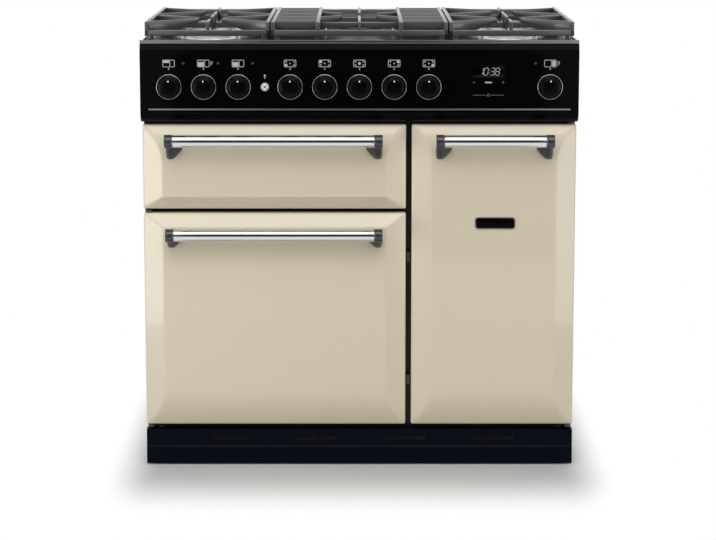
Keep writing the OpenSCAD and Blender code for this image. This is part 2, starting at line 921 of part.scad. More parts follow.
module panel_lights() {
    color("#7a1f1c") {
        for (x = lamps)
            at_face(x, knob_z + lamp_rise)
                translate([0, 0, -panel_wall])
                    cylinder(d = lamp_d, h = panel_wall + lamp_proud);
        at_face(clock_x, clock_z)
            translate([0, 0, -clock_glass_t])
                linear_extrude(clock_glass_t + clock_proud)
                    rounded_plate(clock_w, clock_h, 2);
    }
}

// Knob with a flared skirt, a slightly tapered cap and a small pointer dot
module knob(x) {
    skirt_h = 5;
    cap_r = knob_d / 2 - 3;
    edge_r = 3;
    top = knob_gap + knob_l;
    color("#0e0e10")
        at_face(x, knob_z) {
            difference() {
                union() {
                    translate([0, 0, knob_gap])
                        cylinder(d = knob_d, h = skirt_h);
                    translate([0, 0, knob_gap + skirt_h])
                        cylinder(r1 = cap_r, r2 = cap_r - 1, h = knob_l - skirt_h - edge_r);
                    translate([0, 0, top - edge_r])
                        cylinder(r1 = cap_r - 1, r2 = cap_r - 1 - edge_r, h = edge_r);
                }
                translate([0, 0, -cut])
                    cylinder(d = spindle_d + 2 * running_fit, h = spindle_grip + knob_gap + cut + 0.4);
            }
            translate([0, cap_r - edge_r - 4, top - cut])
                cylinder(r = 1.7, h = cut + 0.6);
        }
}

module grill_knob() {
    knob(left_knobs[0]);
}

module oven_function_knob() {
    knob(left_knobs[1]);
}

module left_oven_knob() {
    knob(left_knobs[2]);
}

module gas_knob_1() {
    knob(gas_knobs[0]);
}

module gas_knob_2() {
    knob(gas_knobs[1]);
}

module gas_knob_3() {
    knob(gas_knobs[2]);
}

module gas_knob_4() {
    knob(gas_knobs[3]);
}

module gas_knob_5() {
    knob(gas_knobs[4]);
}

module right_oven_knob() {
    knob(outer_knob_x);
}

module light_button() {
    color("#e4e4e0")
        at_face(button_x, knob_z) {
            translate([0, 0, -panel_wall - 3])
                cylinder(d = button_d, h = panel_wall + 6);
            translate([0, 0, -panel_wall - 3 - 2])
                cylinder(d = button_d + 4, h = 2);
        }
}

// Depth behind the panel's face at which the spindles start, inside their taps and switches
spindle_root = panel_wall + seat + 10;

// Spindle from a tap or a switch into its knob
module spindle(x) {
    at_face(x, knob_z)
        translate([0, 0, -spindle_root])
            cylinder(d = spindle_d, h = spindle_root + knob_gap + spindle_grip);
}

tap_y = panel_face_y + panel_wall + seat;
manifold_y = tap_y + 50;
manifold_z = knob_z - 24;
burner_pipe_r = 4;

// Pipe between two points, with a ball elbow at its end to turn on
module pipe(from, to, r) {
    elbow_r = r + 1.5;
    run = to - from;
    length = norm(run);
    turn = [0, acos(run[2] / length), atan2(run[1], run[0])];
    translate(from)
        rotate(turn)
            cylinder(r = r, h = length, $fn = 24);
    translate(to)
        sphere(r = elbow_r, $fn = 24);
}

module gas_rail() {
    manifold_l = gas_knobs[4] + 40;
    rear_y = inlet_y;
    stem_z = well_z - sheet_t - 10;
    run_z = stem_z - 12;
    pipe_y = tap_y + 30;
    tap_w = 22;
    tap_h = 24;
    tap_d = 16;
    valve_w = 26;
    valve_h = 28;
    valve_d = 34;
    saddle_w = 18;
    color("#b08d57") {
        for (i = [0:4]) {
            x = gas_knobs[i];
            b = burners[i];
            spindle(x);
            block([x - tap_w / 2, tap_y, knob_z - tap_h / 2], [tap_w, tap_d, tap_h]);
            block([x - valve_w / 2, tap_y + tap_d - 2, knob_z - valve_h / 2], [valve_w, valve_d, valve_h]);
            block([x - saddle_w / 2, tap_y + 40, manifold_z - 4], [saddle_w, 12, 30]);
            pipe([x, pipe_y, knob_z + 10], [x, pipe_y, run_z], burner_pipe_r);
            pipe([x, pipe_y, run_z], [b[0], b[1], run_z], burner_pipe_r);
            pipe([b[0], b[1], run_z], [b[0], b[1], stem_z - burner_pipe_r - 1.5 - seat], burner_pipe_r);
        }
        pipe([manifold_l, manifold_y, manifold_z], [inlet_x, manifold_y, manifold_z], pipe_r);
        pipe([inlet_x, manifold_y, manifold_z], [inlet_x, manifold_y, rear_pipe_z], pipe_r);
        pipe([inlet_x, manifold_y, rear_pipe_z], [inlet_x, rear_y, rear_pipe_z], pipe_r);
        pipe([inlet_x, rear_y, rear_pipe_z], [inlet_x, rear_y, rear_pipe_z - 50], pipe_r);
        translate([inlet_x, rear_y, rear_pipe_z - 54])
            cylinder(r = inlet_d / 2 + 3, h = 14, $fn = 6);
        translate([inlet_x, rear_y, rear_pipe_z - 74])
            difference() {
                cylinder(d = inlet_d, h = 22);
                translate([0, 0, -cut])
                    cylinder(d = inlet_d - 6, h = 18);
            }
    }
}

module oven_switches() {
    switch_w = 40;
    switch_d = 38;
    timer_w = 76;
    timer_h = 36;
    timer_d = 24;
    button_switch_w = 22;
    button_switch_h = 24;
    button_switch_d = 20;
    ear_t = 2;
    button_switch_y = panel_wall + 5 + button_travel + 0.4;
    color("#d9d2c2") {
        for (x = concat(left_knobs, [outer_knob_x])) {
            spindle(x);
            block([x - switch_w / 2, tap_y, knob_z - switch_w / 2], [switch_w, switch_d, switch_w]);
        }
        block([clock_x - timer_w / 2, tap_y, clock_z - timer_h / 2], [timer_w, timer_d, timer_h]);
        block([button_x - button_switch_w / 2, panel_face_y + button_switch_y, knob_z - button_switch_h / 2],
            [button_switch_w, button_switch_d, button_switch_h]);
        for (z = [knob_z - button_switch_h / 2, knob_z + button_switch_h / 2 - ear_t])
            block([button_x - button_switch_w / 2, tap_y, z], [button_switch_w, 8 + button_travel, ear_t]);
    }
}

// Burners

module burner_bodies() {
    color("#b7babd")
        for (b = burners)
            translate([b[0], b[1], well_z + seat]) {
                difference() {
                    union() {
                        cylinder(r1 = b[2] / 2, r2 = b[2] / 2 - 3, h = 5);
                        cylinder(r = b[2] / 2 - 13, h = burner_h);
                    }
                    translate([0, 0, burner_h - 5])
                        cylinder(r = b[2] / 2 - 20, h = 5 + cut);
                }
                translate([0, 0, -seat - sheet_t - 10])
                    cylinder(r = burner_stem_r, h = 12 + sheet_t);
            }
}

module burner_caps() {
    color("#141416")
        for (b = burners)
            translate([b[0], b[1], well_z + 2 * seat + burner_h]) {
                cylinder(r1 = b[2] / 2 - 10, r2 = b[2] / 2 - 13, h = cap_h);
                translate([0, 0, -4])
                    cylinder(r = b[2] / 2 - 20 - seat, h = 5);
            }
}

module spark_electrodes() {
    color("#e9e6dd")
        for (b = burners)
            for (side = [-1, 1])
                translate([b[0] + side * (b[2] / 2 + 4), b[1], well_z + seat]) {
                    cylinder(r = 3, h = burner_h);
                    cylinder(r = 1, h = burner_h + 3);
                }
}

// Cast fin from an outer point to an inner point, tall outside and shallow inside
module fin(outer, inner, outer_h, inner_h) {
    run = inner - outer;
    length = norm(run);
    translate([outer[0], outer[1], support_top])
        rotate([0, 0, atan2(run[1], run[0])])
            translate([0, cast_t * 0.35, 0])
                rotate([90, 0, 0])
                    linear_extrude(cast_t * 0.7)
                        polygon([[0, 0], [length, 0], [length, -inner_h], [length - 4, -inner_h],
                            [length * 0.35, -outer_h], [0, -outer_h]]);
}

// Frame of a pan support: tall side bars, low front and rear bars, and four feet
module support_frame(w, side_bar_h) {
    for (side = [-1, 1]) {
        block([side * (w - cast_t) / 2 - cast_t / 2, support_front_y, support_top - side_bar_h],
            [cast_t, support_d, side_bar_h]);
        block([-w / 2, support_mid_y + side * (support_d - cast_t) / 2 - cast_t / 2, low_bar_z],
            [w, cast_t, low_bar_h]);
        for (y = [-1, 1])
            translate([side * (w / 2 - 12), support_mid_y + y * (support_d / 2 - 12), hob_z + seat])
                cylinder(r = 6, h = low_bar_z + low_bar_h - hob_z - seat - 2);
    }
}

side_bar_h = support_top - low_bar_z;

// Pan support over two burners, with a round boss where its middle bar carries the fins
module pair_support(x) {
    half = side_support_w / 2 - cast_t / 2;
    fin_end = 34;
    corner_fin_h = 26;
    fin_h = 24;
    tip_h = 9;
    boss_r = 5.5;
    color("#3b3b3d")
        translate([x, 0, 0]) {
            support_frame(side_support_w, side_bar_h);
            block([-half, support_mid_y - cast_t / 2, low_bar_z], [2 * half, cast_t, low_bar_h]);
            translate([0, support_mid_y, low_bar_z + 1])
                cylinder(r = boss_r, h = side_bar_h - 1);
            for (row = [-1, 1]) {
                by = support_mid_y + row * burner_dy;
                for (sx = [-1, 1])
                    for (sy = [-1, 1])
                        fin([sx * half, by + sy * (burner_dy - cast_t / 2) * 0.86],
                            [sx * fin_end * 0.75, by + sy * fin_end * 0.66], corner_fin_h, tip_h);
                fin([0, support_mid_y], [0, by - row * fin_end], fin_h, tip_h + 1);
                fin([0, support_mid_y + row * (support_d / 2 - cast_t / 2)], [0, by + row * fin_end],
                    fin_h, tip_h);
            }
        }
}

module left_pan_support() {
    pair_support(-side_support_x);
}

module right_pan_support() {
    pair_support(side_support_x);
}

// Pan support over the large centre burner, with slats on both sides
module centre_pan_support() {
    half = centre_support_w / 2 - cast_t / 2;
    ring = 86;
    slats = 5;
    slat_h = 16;
    slat_pitch = (support_d - 2 * cast_t) / (2 * slats);
    cross_drop = 11.6;
    ring_fin_h = 22;
    color("#3b3b3d") {
        support_frame(centre_support_w, side_bar_h);
        for (side = [-1, 1]) {
            block([side * ring - cast_t / 2, support_front_y, support_top - slat_h],
                [cast_t, support_d, slat_h]);
            block([-ring, support_mid_y + side * ring - cast_t / 2, support_top - cross_drop - low_bar_h],
                [2 * ring, cast_t, low_bar_h]);
            for (i = [0:2 * slats - 1])
                block([side * (ring + half) / 2 - (half - ring) / 2,
                    support_mid_y + (i - slats + 0.5) * slat_pitch - 3, support_top - slat_h],
                    [half - ring, 6, slat_h]);
            for (sy = [-1, 1])
                fin([side * (ring - 1), support_mid_y + sy * (ring - 1)],
                    [side * 38, support_mid_y + sy * 38], ring_fin_h, 8);
            fin([0, support_mid_y + side * (support_d / 2 - cast_t / 2)], [0, support_mid_y + side * 46],
                24, 9);
            for (y = [-1, 1])
                translate([side * ring, support_mid_y + y * (support_d / 2 - 12), hob_z + seat])
                    cylinder(r = cast_t / 2 + 1.5, h = support_h - seat - 4);
        }
    }
}

// Ovens

// Liner box open at the front, with a flange against the frame
module liner(x, z, w, h, depth, r) {
    translate([x, liner_y, z])
        difference() {
            union() {
                upright_plate(w + 2 * flange_w, h + 2 * flange_w, r + flange_w, liner_t);
                upright_plate(w + 2 * liner_t, h + 2 * liner_t, r + liner_t, depth + liner_t);
            }
            translate([0, -cut, 0])
                upright_plate(w, h, r, depth + cut);
        }
}

shaft_r = 4;
shaft_hole_r = 8;

// Oven liner with the hole for the fan's shaft
module oven_liner(x, z, w, h) {
    color("#2b2d31")
        difference() {
            liner(x, z, w, h, liner_depth, oven_corner_r);
            translate([x, liner_back_y - liner_t - cut, z])
                rod_y(shaft_hole_r, liner_t + 2 * cut);
        }
}

module left_oven_liner() {
    oven_liner(left_x, left_oven_z, left_oven_w, left_oven_h);
}

module right_oven_liner() {
    oven_liner(right_x, right_oven_z, right_oven_w, right_oven_h);
}

module grill_chamber() {
    color("#2b2d31")
        liner(left_x, chamber_z, left_oven_w, chamber_h, oven_d + 20, chamber_corner_r);
}

// Wool jacket round a liner, open at the front and behind the fan motor
module wool(x, z, w, h) {
    jacket_y = liner_y + 8;
    inner_w = w + 2 * (liner_t + seat);
    inner_h = h + 2 * (liner_t + seat);
    translate([x, jacket_y, z])
        difference() {
            upright_plate(inner_w + 2 * wool_t, inner_h + 2 * wool_t, oven_corner_r,
                liner_back_y + wool_t - jacket_y);
            translate([0, -cut, 0])
                upright_plate(inner_w, inner_h, oven_corner_r + liner_t,
                    liner_back_y + seat - jacket_y + cut);
            rod_y(55, body_d);
        }
}

module insulation() {
    color("#d9cfa3") {
        wool(left_x, left_oven_z, left_oven_w, left_oven_h);
        wool(right_x, right_oven_z, right_oven_w, right_oven_h);
    }
}

fan_depth = 18;
fan_y = cover_y + sheet_t + 8;

module fan(x, z) {
    hub_r = 12;
    blade_t = 1.6;
    color("#a9acb0")
        translate([x, fan_y, z]) {
            rod_y(shaft_r, liner_back_y - fan_y + 20);
            rod_y(hub_r, fan_depth);
            translate([0, fan_depth - 2, 0])
                rod_y(fan_d / 2 - 4, 1.5);
            for (i = [0:fan_blades - 1])
                rotate([0, i * 360 / fan_blades, 0])
                    block([fan_d / 2 - 32, 0, -blade_t / 2], [32, fan_depth - 1, blade_t]);
        }
}

module left_fan() {
    fan(left_x, left_oven_z);
}

module right_fan() {
    fan(right_x, right_oven_z);
}

// The covers fit the narrower oven, with their studs this far inside its walls
stud_inset = 25;
cover_stud = right_oven_w / 2 - stud_inset;
cover_stud_r = 4;

// Cover plate in front of a fan, with rings of holes, on four studs
module fan_cover(x, z) {
    rim = 12;
    cover_w = 2 * (cover_stud + rim);
    hole_r = 5;
    hole_pitch = 18;
    translate([x, cover_y, z]) {
        difference() {
            upright_plate(cover_w, cover_w, 16, sheet_t);
            for (ring = [1:3])
                for (i = [0:6 * ring - 1])
                    rotate([0, i * 60 / ring, 0])
                        translate([ring * hole_pitch, -cut, 0])
                            rod_y(hole_r, sheet_t + 2 * cut, $fn = 20);
        }
        for (sx = [-1, 1])
            for (sz = [-1, 1])
                translate([sx * cover_stud, sheet_t - 0.01, sz * cover_stud])
                    rod_y(cover_stud_r, fan_space - sheet_t - seat);
    }
}

module fan_covers() {
    color("#3f4246") {
        fan_cover(left_x, left_oven_z);
        fan_cover(right_x, right_oven_z);
    }
}

module fan_motor(x, z) {
    motor_d = 30;
    color("#5d6064")
        translate([x, liner_back_y + seat, z])
            difference() {
                union() {
                    rod_y(32, 4);
                    translate([-28, 4 - 0.01, -34])
                        cube([56, motor_d - 4, 68]);
                    translate([0, motor_d - 0.01, 0])
                        rod_y(14, 8);
                }
                translate([0, -cut, 0])
                    rod_y(shaft_r + running_fit, 22 + cut);
            }
}

module fan_motors() {
    fan_motor(left_x, left_oven_z);
    fan_motor(right_x, right_oven_z);
}

// Ring element round a fan, with two tails to the liner's back
module ring_element(x, z) {
    element_r = 3.5;
    ring_r = fan_d / 2 + 11;
    ring_y = fan_y + 9;
    translate([x, ring_y, z]) {
        rotate([90, 0, 0])
            rotate_extrude($fn = 96)
                translate([ring_r, 0])
                    circle(element_r, $fn = 20);
        for (side = [-1, 1])
            translate([side * 8, 0, ring_r])
                rod_y(element_r - 1, liner_y + liner_depth - ring_y - seat);
    }
}

module heating_elements() {
    grill_r = 3.5;
    end_r = 4.5;
    grill_drop = 14;
    grill_z = chamber_z + chamber_h / 2 - grill_drop;
    grill_y = liner_y + 40;
    grill_l = oven_d - 110;
    bars = 6;
    bar_pitch = 54;
    color("#8a5a3c") {
        ring_element(left_x, left_oven_z);
        ring_element(right_x, right_oven_z);
        for (i = [0:bars - 1])
            translate([left_x + (i - (bars - 1) / 2) * bar_pitch, grill_y, grill_z])
                rod_y(grill_r, grill_l);
        for (y = [grill_y, grill_y + grill_l])
            translate([left_x - (bars - 1) / 2 * bar_pitch - end_r - 2, y, grill_z])
                rod_x(end_r, (bars - 1) * bar_pitch + 2 * end_r + 4);
        for (side = [-1, 1])
            for (y = [grill_y, grill_y + grill_l])
                translate([left_x + side * (bars - 1) / 2 * bar_pitch, y, grill_z])
                    cylinder(r = 2.5, h = grill_drop - seat);
    }
}

ladder_gap = 4;
ladder_r = 2.5;
ladder_pitch = 62;
shelf_wire_r = 3;
cross_wire_r = 2.6;
shelf_seat = ladder_r + shelf_wire_r + seat;
ladder_y = liner_y + 30;
ladder_l = oven_d - 60;
ladder_foot = 56;

// Number of levels on the ladders of an oven
function levels(h) = floor((h - ladder_foot - 60) / ladder_pitch) + 1;

// Wire ladders on both side walls of an oven
module ladders(x, z, w, h) {
    for (side = [0, 1])
        translate([x, 0, z - h / 2])
            mirror([side, 0, 0])
                translate([-w / 2, 0, 0]) {
                    for (y = [ladder_y + 20, ladder_y + ladder_l - 20]) {
                        translate([ladder_gap + ladder_r, y, 24])
                            cylinder(r = ladder_r, h = h - 48, $fn = 24);
                        for (peg_z = [60, h - 60])
                            translate([seat, y, peg_z])
                                rod_x(ladder_r, ladder_gap + ladder_r, $fn = 24);
                    }
                    for (level = [0:levels(h) - 1])
                        for (rail = [0, 14])
                            translate([ladder_gap + 3 * ladder_r - 1, ladder_y,
                                ladder_foot + level * ladder_pitch + rail])
                                rod_y(ladder_r, ladder_l, $fn = 24);
                }
}

module shelf_ladders() {
    color("#b9bbbe") {
        ladders(left_x, left_oven_z, left_oven_w, left_oven_h);
        ladders(right_x, right_oven_z, right_oven_w, right_oven_h);
    }
}

// Wire shelf that rests on the ladders at a level
module wire_shelf(x, z, w, h, level) {
    side_gap = ladder_gap + 3 * ladder_r + 1;
    shelf_w = w - 2 * side_gap;
    shelf_l = ladder_l - 10;
    wires = round(shelf_w / 26);
    translate([x, ladder_y + ladder_l / 2, z - h / 2 + ladder_foot + level * ladder_pitch + shelf_seat]) {
        for (side = [-1, 1]) {
            translate([side * shelf_w / 2, -shelf_l / 2, 0])
                rod_y(shelf_wire_r, shelf_l, $fn = 24);
            translate([-shelf_w / 2, side * (shelf_l / 2 - 2 * shelf_wire_r), 0])
                rod_x(cross_wire_r, shelf_w, $fn = 24);
        }
        for (i = [1:wires - 1])
            translate([-shelf_w / 2 + i * shelf_w / wires, 2 * shelf_wire_r - shelf_l / 2, 0])
                rod_y(1.8, shelf_l - 4 * shelf_wire_r, $fn = 20);
    }
}

module oven_shelves() {
    color("#c9cbce") {
        for (i = [0:left_shelves - 1])
            wire_shelf(left_x, left_oven_z, left_oven_w, left_oven_h, 1 + i * 2);
        for (i = [0:right_shelves - 1])
            wire_shelf(right_x, right_oven_z, right_oven_w, right_oven_h, 1 + i * 2);
    }
}

// Hinge bracket on the front frame: plate, thrust collar and pin that points up or down
module hinge_bracket(x, door_end_z, direction, plate_t, collar_h) {
    pin_y = door_back_y - hinge_setback;
    plate_w = 15;
    translate([x, pin_y, door_end_z])
        mirror([0, 0, direction > 0 ? 1 : 0]) {
            translate([0, 0, seat])
                cylinder(r = plate_w / 2 - 1, h = collar_h);
            translate([0, 0, seat + collar_h - 0.01]) {
                cylinder(d = plate_w, h = plate_t);
                block([-plate_w / 2, 0, 0], [plate_w, frame_y - seat - pin_y, plate_t]);
            }
            translate([0, 0, -hinge_pin_l])
                cylinder(d = hinge_pin_d, h = hinge_pin_l + seat + collar_h + plate_t / 2);
        }
}

catch_z = [0.21, 0.79];

module door_hardware() {
    left_pin_x = -door_edge_x + hinge_inset;
    catch_w = middle_gap - 5;
    color("#b9bbbe") {
        for (side = [-1, 1])
            hinge_bracket(side * -left_pin_x, door_z, 1, 4, 2);
        hinge_bracket(left_pin_x, door_z + left_door_h, -1, 4, 2);
        hinge_bracket(-left_pin_x, door_z + right_door_h, -1, 2.6, 1.4);
        for (share = catch_z)
            block([middle_x - catch_w / 2, door_back_y - 14, door_z + left_door_h * share - 10],
                [catch_w, frame_y - door_back_y + 14 - seat, 20]);
    }
}

// Rope seal round an oven's opening, between the frame and the door
module door_seal(x, z, w, h) {
    seal_t = seal_gap - 2 * seat;
    inner = 4;
    translate([x, door_back_y + seat, z])
        difference() {
            upright_plate(w + 2 * (inner + seal_w), h + 2 * (inner + seal_w),
                oven_corner_r + inner + seal_w, seal_t);
            translate([0, -cut, 0])
                upright_plate(w + 2 * inner, h + 2 * inner, oven_corner_r + inner, seal_t + 2 * cut);
        }
}

module door_seals() {
    color("#4b4844") {
        door_seal(left_x, left_oven_z, left_oven_w, left_oven_h);
        door_seal(right_x, right_oven_z, right_oven_w, right_oven_h);
    }
}

terminal_inset = 150;
terminal_x = side_x - terminal_inset;
terminal_z = right_oven_z;

module terminal_box() {
    box_w = 90;
    box_h = 70;
    box_d = service_d - 6;
    wall_t = 2.5;
    gland_r = cable_entry_d / 2 + 4;
    gland_l = 14;
    color("#1f2022")
        translate([terminal_x, back_y - service_d + seat, terminal_z])
            difference() {
                union() {
                    block([-box_w / 2, 0, 0], [box_w, box_d, box_h]);
                    translate([0, box_d / 2, -gland_l])
                        cylinder(r = gland_r, h = gland_l + cut);
                }
                block([wall_t - box_w / 2, wall_t, wall_t],
                    [box_w - 2 * wall_t, box_d - 2 * wall_t, box_h - 2 * wall_t]);
                translate([0, box_d / 2, -gland_l - cut])
                    cylinder(d = cable_entry_d, h = gland_l + wall_t + 2 * cut);
            }
}

side_panels();
back_panel();
base_chassis();
levelling_feet();
front_frame();
plinth();
hotplate();
rear_vent();
control_panel();
panel_trim();
knob_bezels();
panel_lights();
burner_bodies();
burner_caps();
spark_electrodes();
gas_rail();
oven_switches();
left_oven_liner();
right_oven_liner();
grill_chamber();
insulation();
heating_elements();
fan_covers();
fan_motors();
shelf_ladders();
oven_shelves();
door_hardware();
door_seals();
drawer_outer_runners();
terminal_box();
left_door_skin();
left_door_inner();
left_handle_bar();
left_handle_brackets();
right_door_skin();
right_door_inner();
right_handle_bar();
right_handle_brackets();
drawer_front();
drawer_carriage();
drawer_handle_bar();
drawer_handle_brackets();
grill_pan();
grill_rack();
drawer_middle_runners();
grill_knob();
oven_function_knob();
left_oven_knob();
gas_knob_1();
gas_knob_2();
gas_knob_3();
gas_knob_4();
gas_knob_5();
right_oven_knob();
light_button();
left_pan_support();
centre_pan_support();
right_pan_support();
left_fan();
right_fan();
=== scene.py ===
"""Dual fuel range cooker, dressed in enamel, chrome and cast iron.

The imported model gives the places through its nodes' boxes. X runs to the right seen from the
front, Y to the back and Z up, in metres.
"""

import logging
import math
from dataclasses import dataclass, field
from enum import Enum
from typing import Callable, Iterable, Optional, Sequence

import bmesh
import bpy
from bmesh.types import BMEdge, BMesh, BMVert
from mathutils import Matrix, Vector


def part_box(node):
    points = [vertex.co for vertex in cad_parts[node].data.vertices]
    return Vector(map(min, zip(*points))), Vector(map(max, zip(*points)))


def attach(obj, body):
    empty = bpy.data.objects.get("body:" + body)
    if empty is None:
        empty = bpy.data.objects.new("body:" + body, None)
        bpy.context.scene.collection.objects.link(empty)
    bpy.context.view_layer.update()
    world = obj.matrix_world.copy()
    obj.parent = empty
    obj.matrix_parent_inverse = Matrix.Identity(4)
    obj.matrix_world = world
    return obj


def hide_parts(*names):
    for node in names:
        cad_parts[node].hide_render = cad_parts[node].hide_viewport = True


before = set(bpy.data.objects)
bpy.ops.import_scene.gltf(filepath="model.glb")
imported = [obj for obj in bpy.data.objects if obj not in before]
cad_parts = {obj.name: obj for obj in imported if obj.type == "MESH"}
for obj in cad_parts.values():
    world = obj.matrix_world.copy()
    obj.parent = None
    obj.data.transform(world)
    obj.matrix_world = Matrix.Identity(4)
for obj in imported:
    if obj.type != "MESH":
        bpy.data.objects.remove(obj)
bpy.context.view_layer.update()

LOG = logging.getLogger("range_cooker")
MM = 0.001
INK = 0.12 * MM
WHITE = (1.0, 1.0, 1.0, 1.0)


# Finishes


class Pattern(Enum):
    """What a finish shows from close by."""

    ENAMEL = "glassy coat with a faint orange peel"
    SPECKLED = "oven enamel with pale specks"
    BRUSHED = "metal with fine lines along X"
    POLISHED = "mirror metal with faint wiping marks"
    CAST = "grainy cast metal"
    MOULDED = "fine grain of moulded plastic or paint"
    FIBRE = "tangled fibres"


@dataclass(frozen=True)
class Finish:
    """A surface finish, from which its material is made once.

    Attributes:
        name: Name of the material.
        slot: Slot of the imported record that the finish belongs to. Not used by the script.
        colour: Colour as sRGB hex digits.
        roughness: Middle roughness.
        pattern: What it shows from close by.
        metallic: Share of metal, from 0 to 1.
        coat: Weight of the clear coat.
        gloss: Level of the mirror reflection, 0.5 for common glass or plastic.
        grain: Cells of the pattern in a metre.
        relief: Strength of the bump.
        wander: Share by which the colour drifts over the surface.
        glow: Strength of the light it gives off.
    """

    name: str
    slot: str
    colour: str
    roughness: float
    pattern: Pattern = Pattern.MOULDED
    metallic: float = 0.0
    coat: float = 0.0
    gloss: float = 0.5
    grain: float = 900.0
    relief: float = 0.08
    wander: float = 0.06
    glow: float = 0.0

    def material(self) -> bpy.types.Material:
        """Returns the finish's material, made at its first use."""
        return bpy.data.materials.get(self.name) or FinishRecipe(self).build()

    def linear(self, gain: float = 1.0) -> tuple[float, float, float, float]:
        """Turns the hex colour into the linear values that the shaders use.

        Args:
            gain: Factor on the linear values.

        Returns:
            Red, green, blue and alpha.
        """
        shares = [int(self.colour[i:i + 2], 16) / 255 for i in (1, 3, 5)]
        values = [s / 12.92 if s <= 0.04045 else ((s + 0.055) / 1.055) ** 2.4 for s in shares]
        red, green, blue = (min(v * gain, 1.0) for v in values)
        return red, green, blue, 1.0


class NodeTree:
    """Nodes and links of a material or of the world."""

    def __init__(self, owner: bpy.types.ID) -> None:
        """Turns the owner's nodes on.

        Args:
            owner: The material or the world.
        """
        owner.use_nodes = True
        self.nodes, self.links = owner.node_tree.nodes, owner.node_tree.links

    def find(self, kind: str) -> bpy.types.Node:
        """Returns the node of a kind that the tree started with."""
        return next(node for node in self.nodes if node.type == kind)

    def add(self, kind: str, **values: object) -> bpy.types.Node:
        """Adds a node.

        Args:
            kind: Its kind.
            values: Value or socket for each named input, with _ for a blank in the name.

        Returns:
            The node.
        """
        node = self.nodes.new("ShaderNode" + kind)
        for name, value in values.items():
            self.feed(node.inputs[name.replace("_", " ")], value)
        return node

    def feed(self, socket: bpy.types.NodeSocket, value: object) -> None:
        """Links a socket to another one, or sets its value.

        Args:
            socket: The socket to feed.
            value: Another socket, or plain numbers.
        """
        if isinstance(value, bpy.types.NodeSocket):
            self.links.new(value, socket)
        else:
            socket.default_value = value

    def work_out(self, operation: str, first: object, second: object) -> bpy.types.NodeSocket:
        """Adds a sum on two values.

        Args:
            operation: What is done with them.
            first: First value or socket.
            second: Second value or socket.

        Returns:
            The result.
        """
        node = self.add("Math")
        node.operation = operation
        for socket, value in zip(node.inputs, (first, second)):
            self.feed(socket, value)
        return node.outputs[0]

    def seen_ray(self) -> bpy.types.NodeSocket:
        """Tells camera, glossy and transmission rays from the rest.

        Returns:
            1 on those rays, otherwise 0.
        """
        rays = self.add("LightPath").outputs
        mirrored = self.work_out("MAXIMUM", rays["Is Camera Ray"], rays["Is Glossy Ray"])
        return self.work_out("MAXIMUM", mirrored, rays["Is Transmission Ray"])

    def show(self, kind: str, share: bpy.types.NodeSocket, first: bpy.types.Node,
             second: bpy.types.Node) -> None:
        """Ends the tree in a mix of two shaders.

        Args:
            kind: Kind of the output node.
            share: Share of the second shader.
            first: First shader.
            second: Second shader.
        """
        mix = self.add("MixShader")
        for socket, value in zip(mix.inputs, (share, first.outputs[0], second.outputs[0])):
            self.feed(socket, value)
        self.feed(self.find(kind).inputs["Surface"], mix.outputs[0])


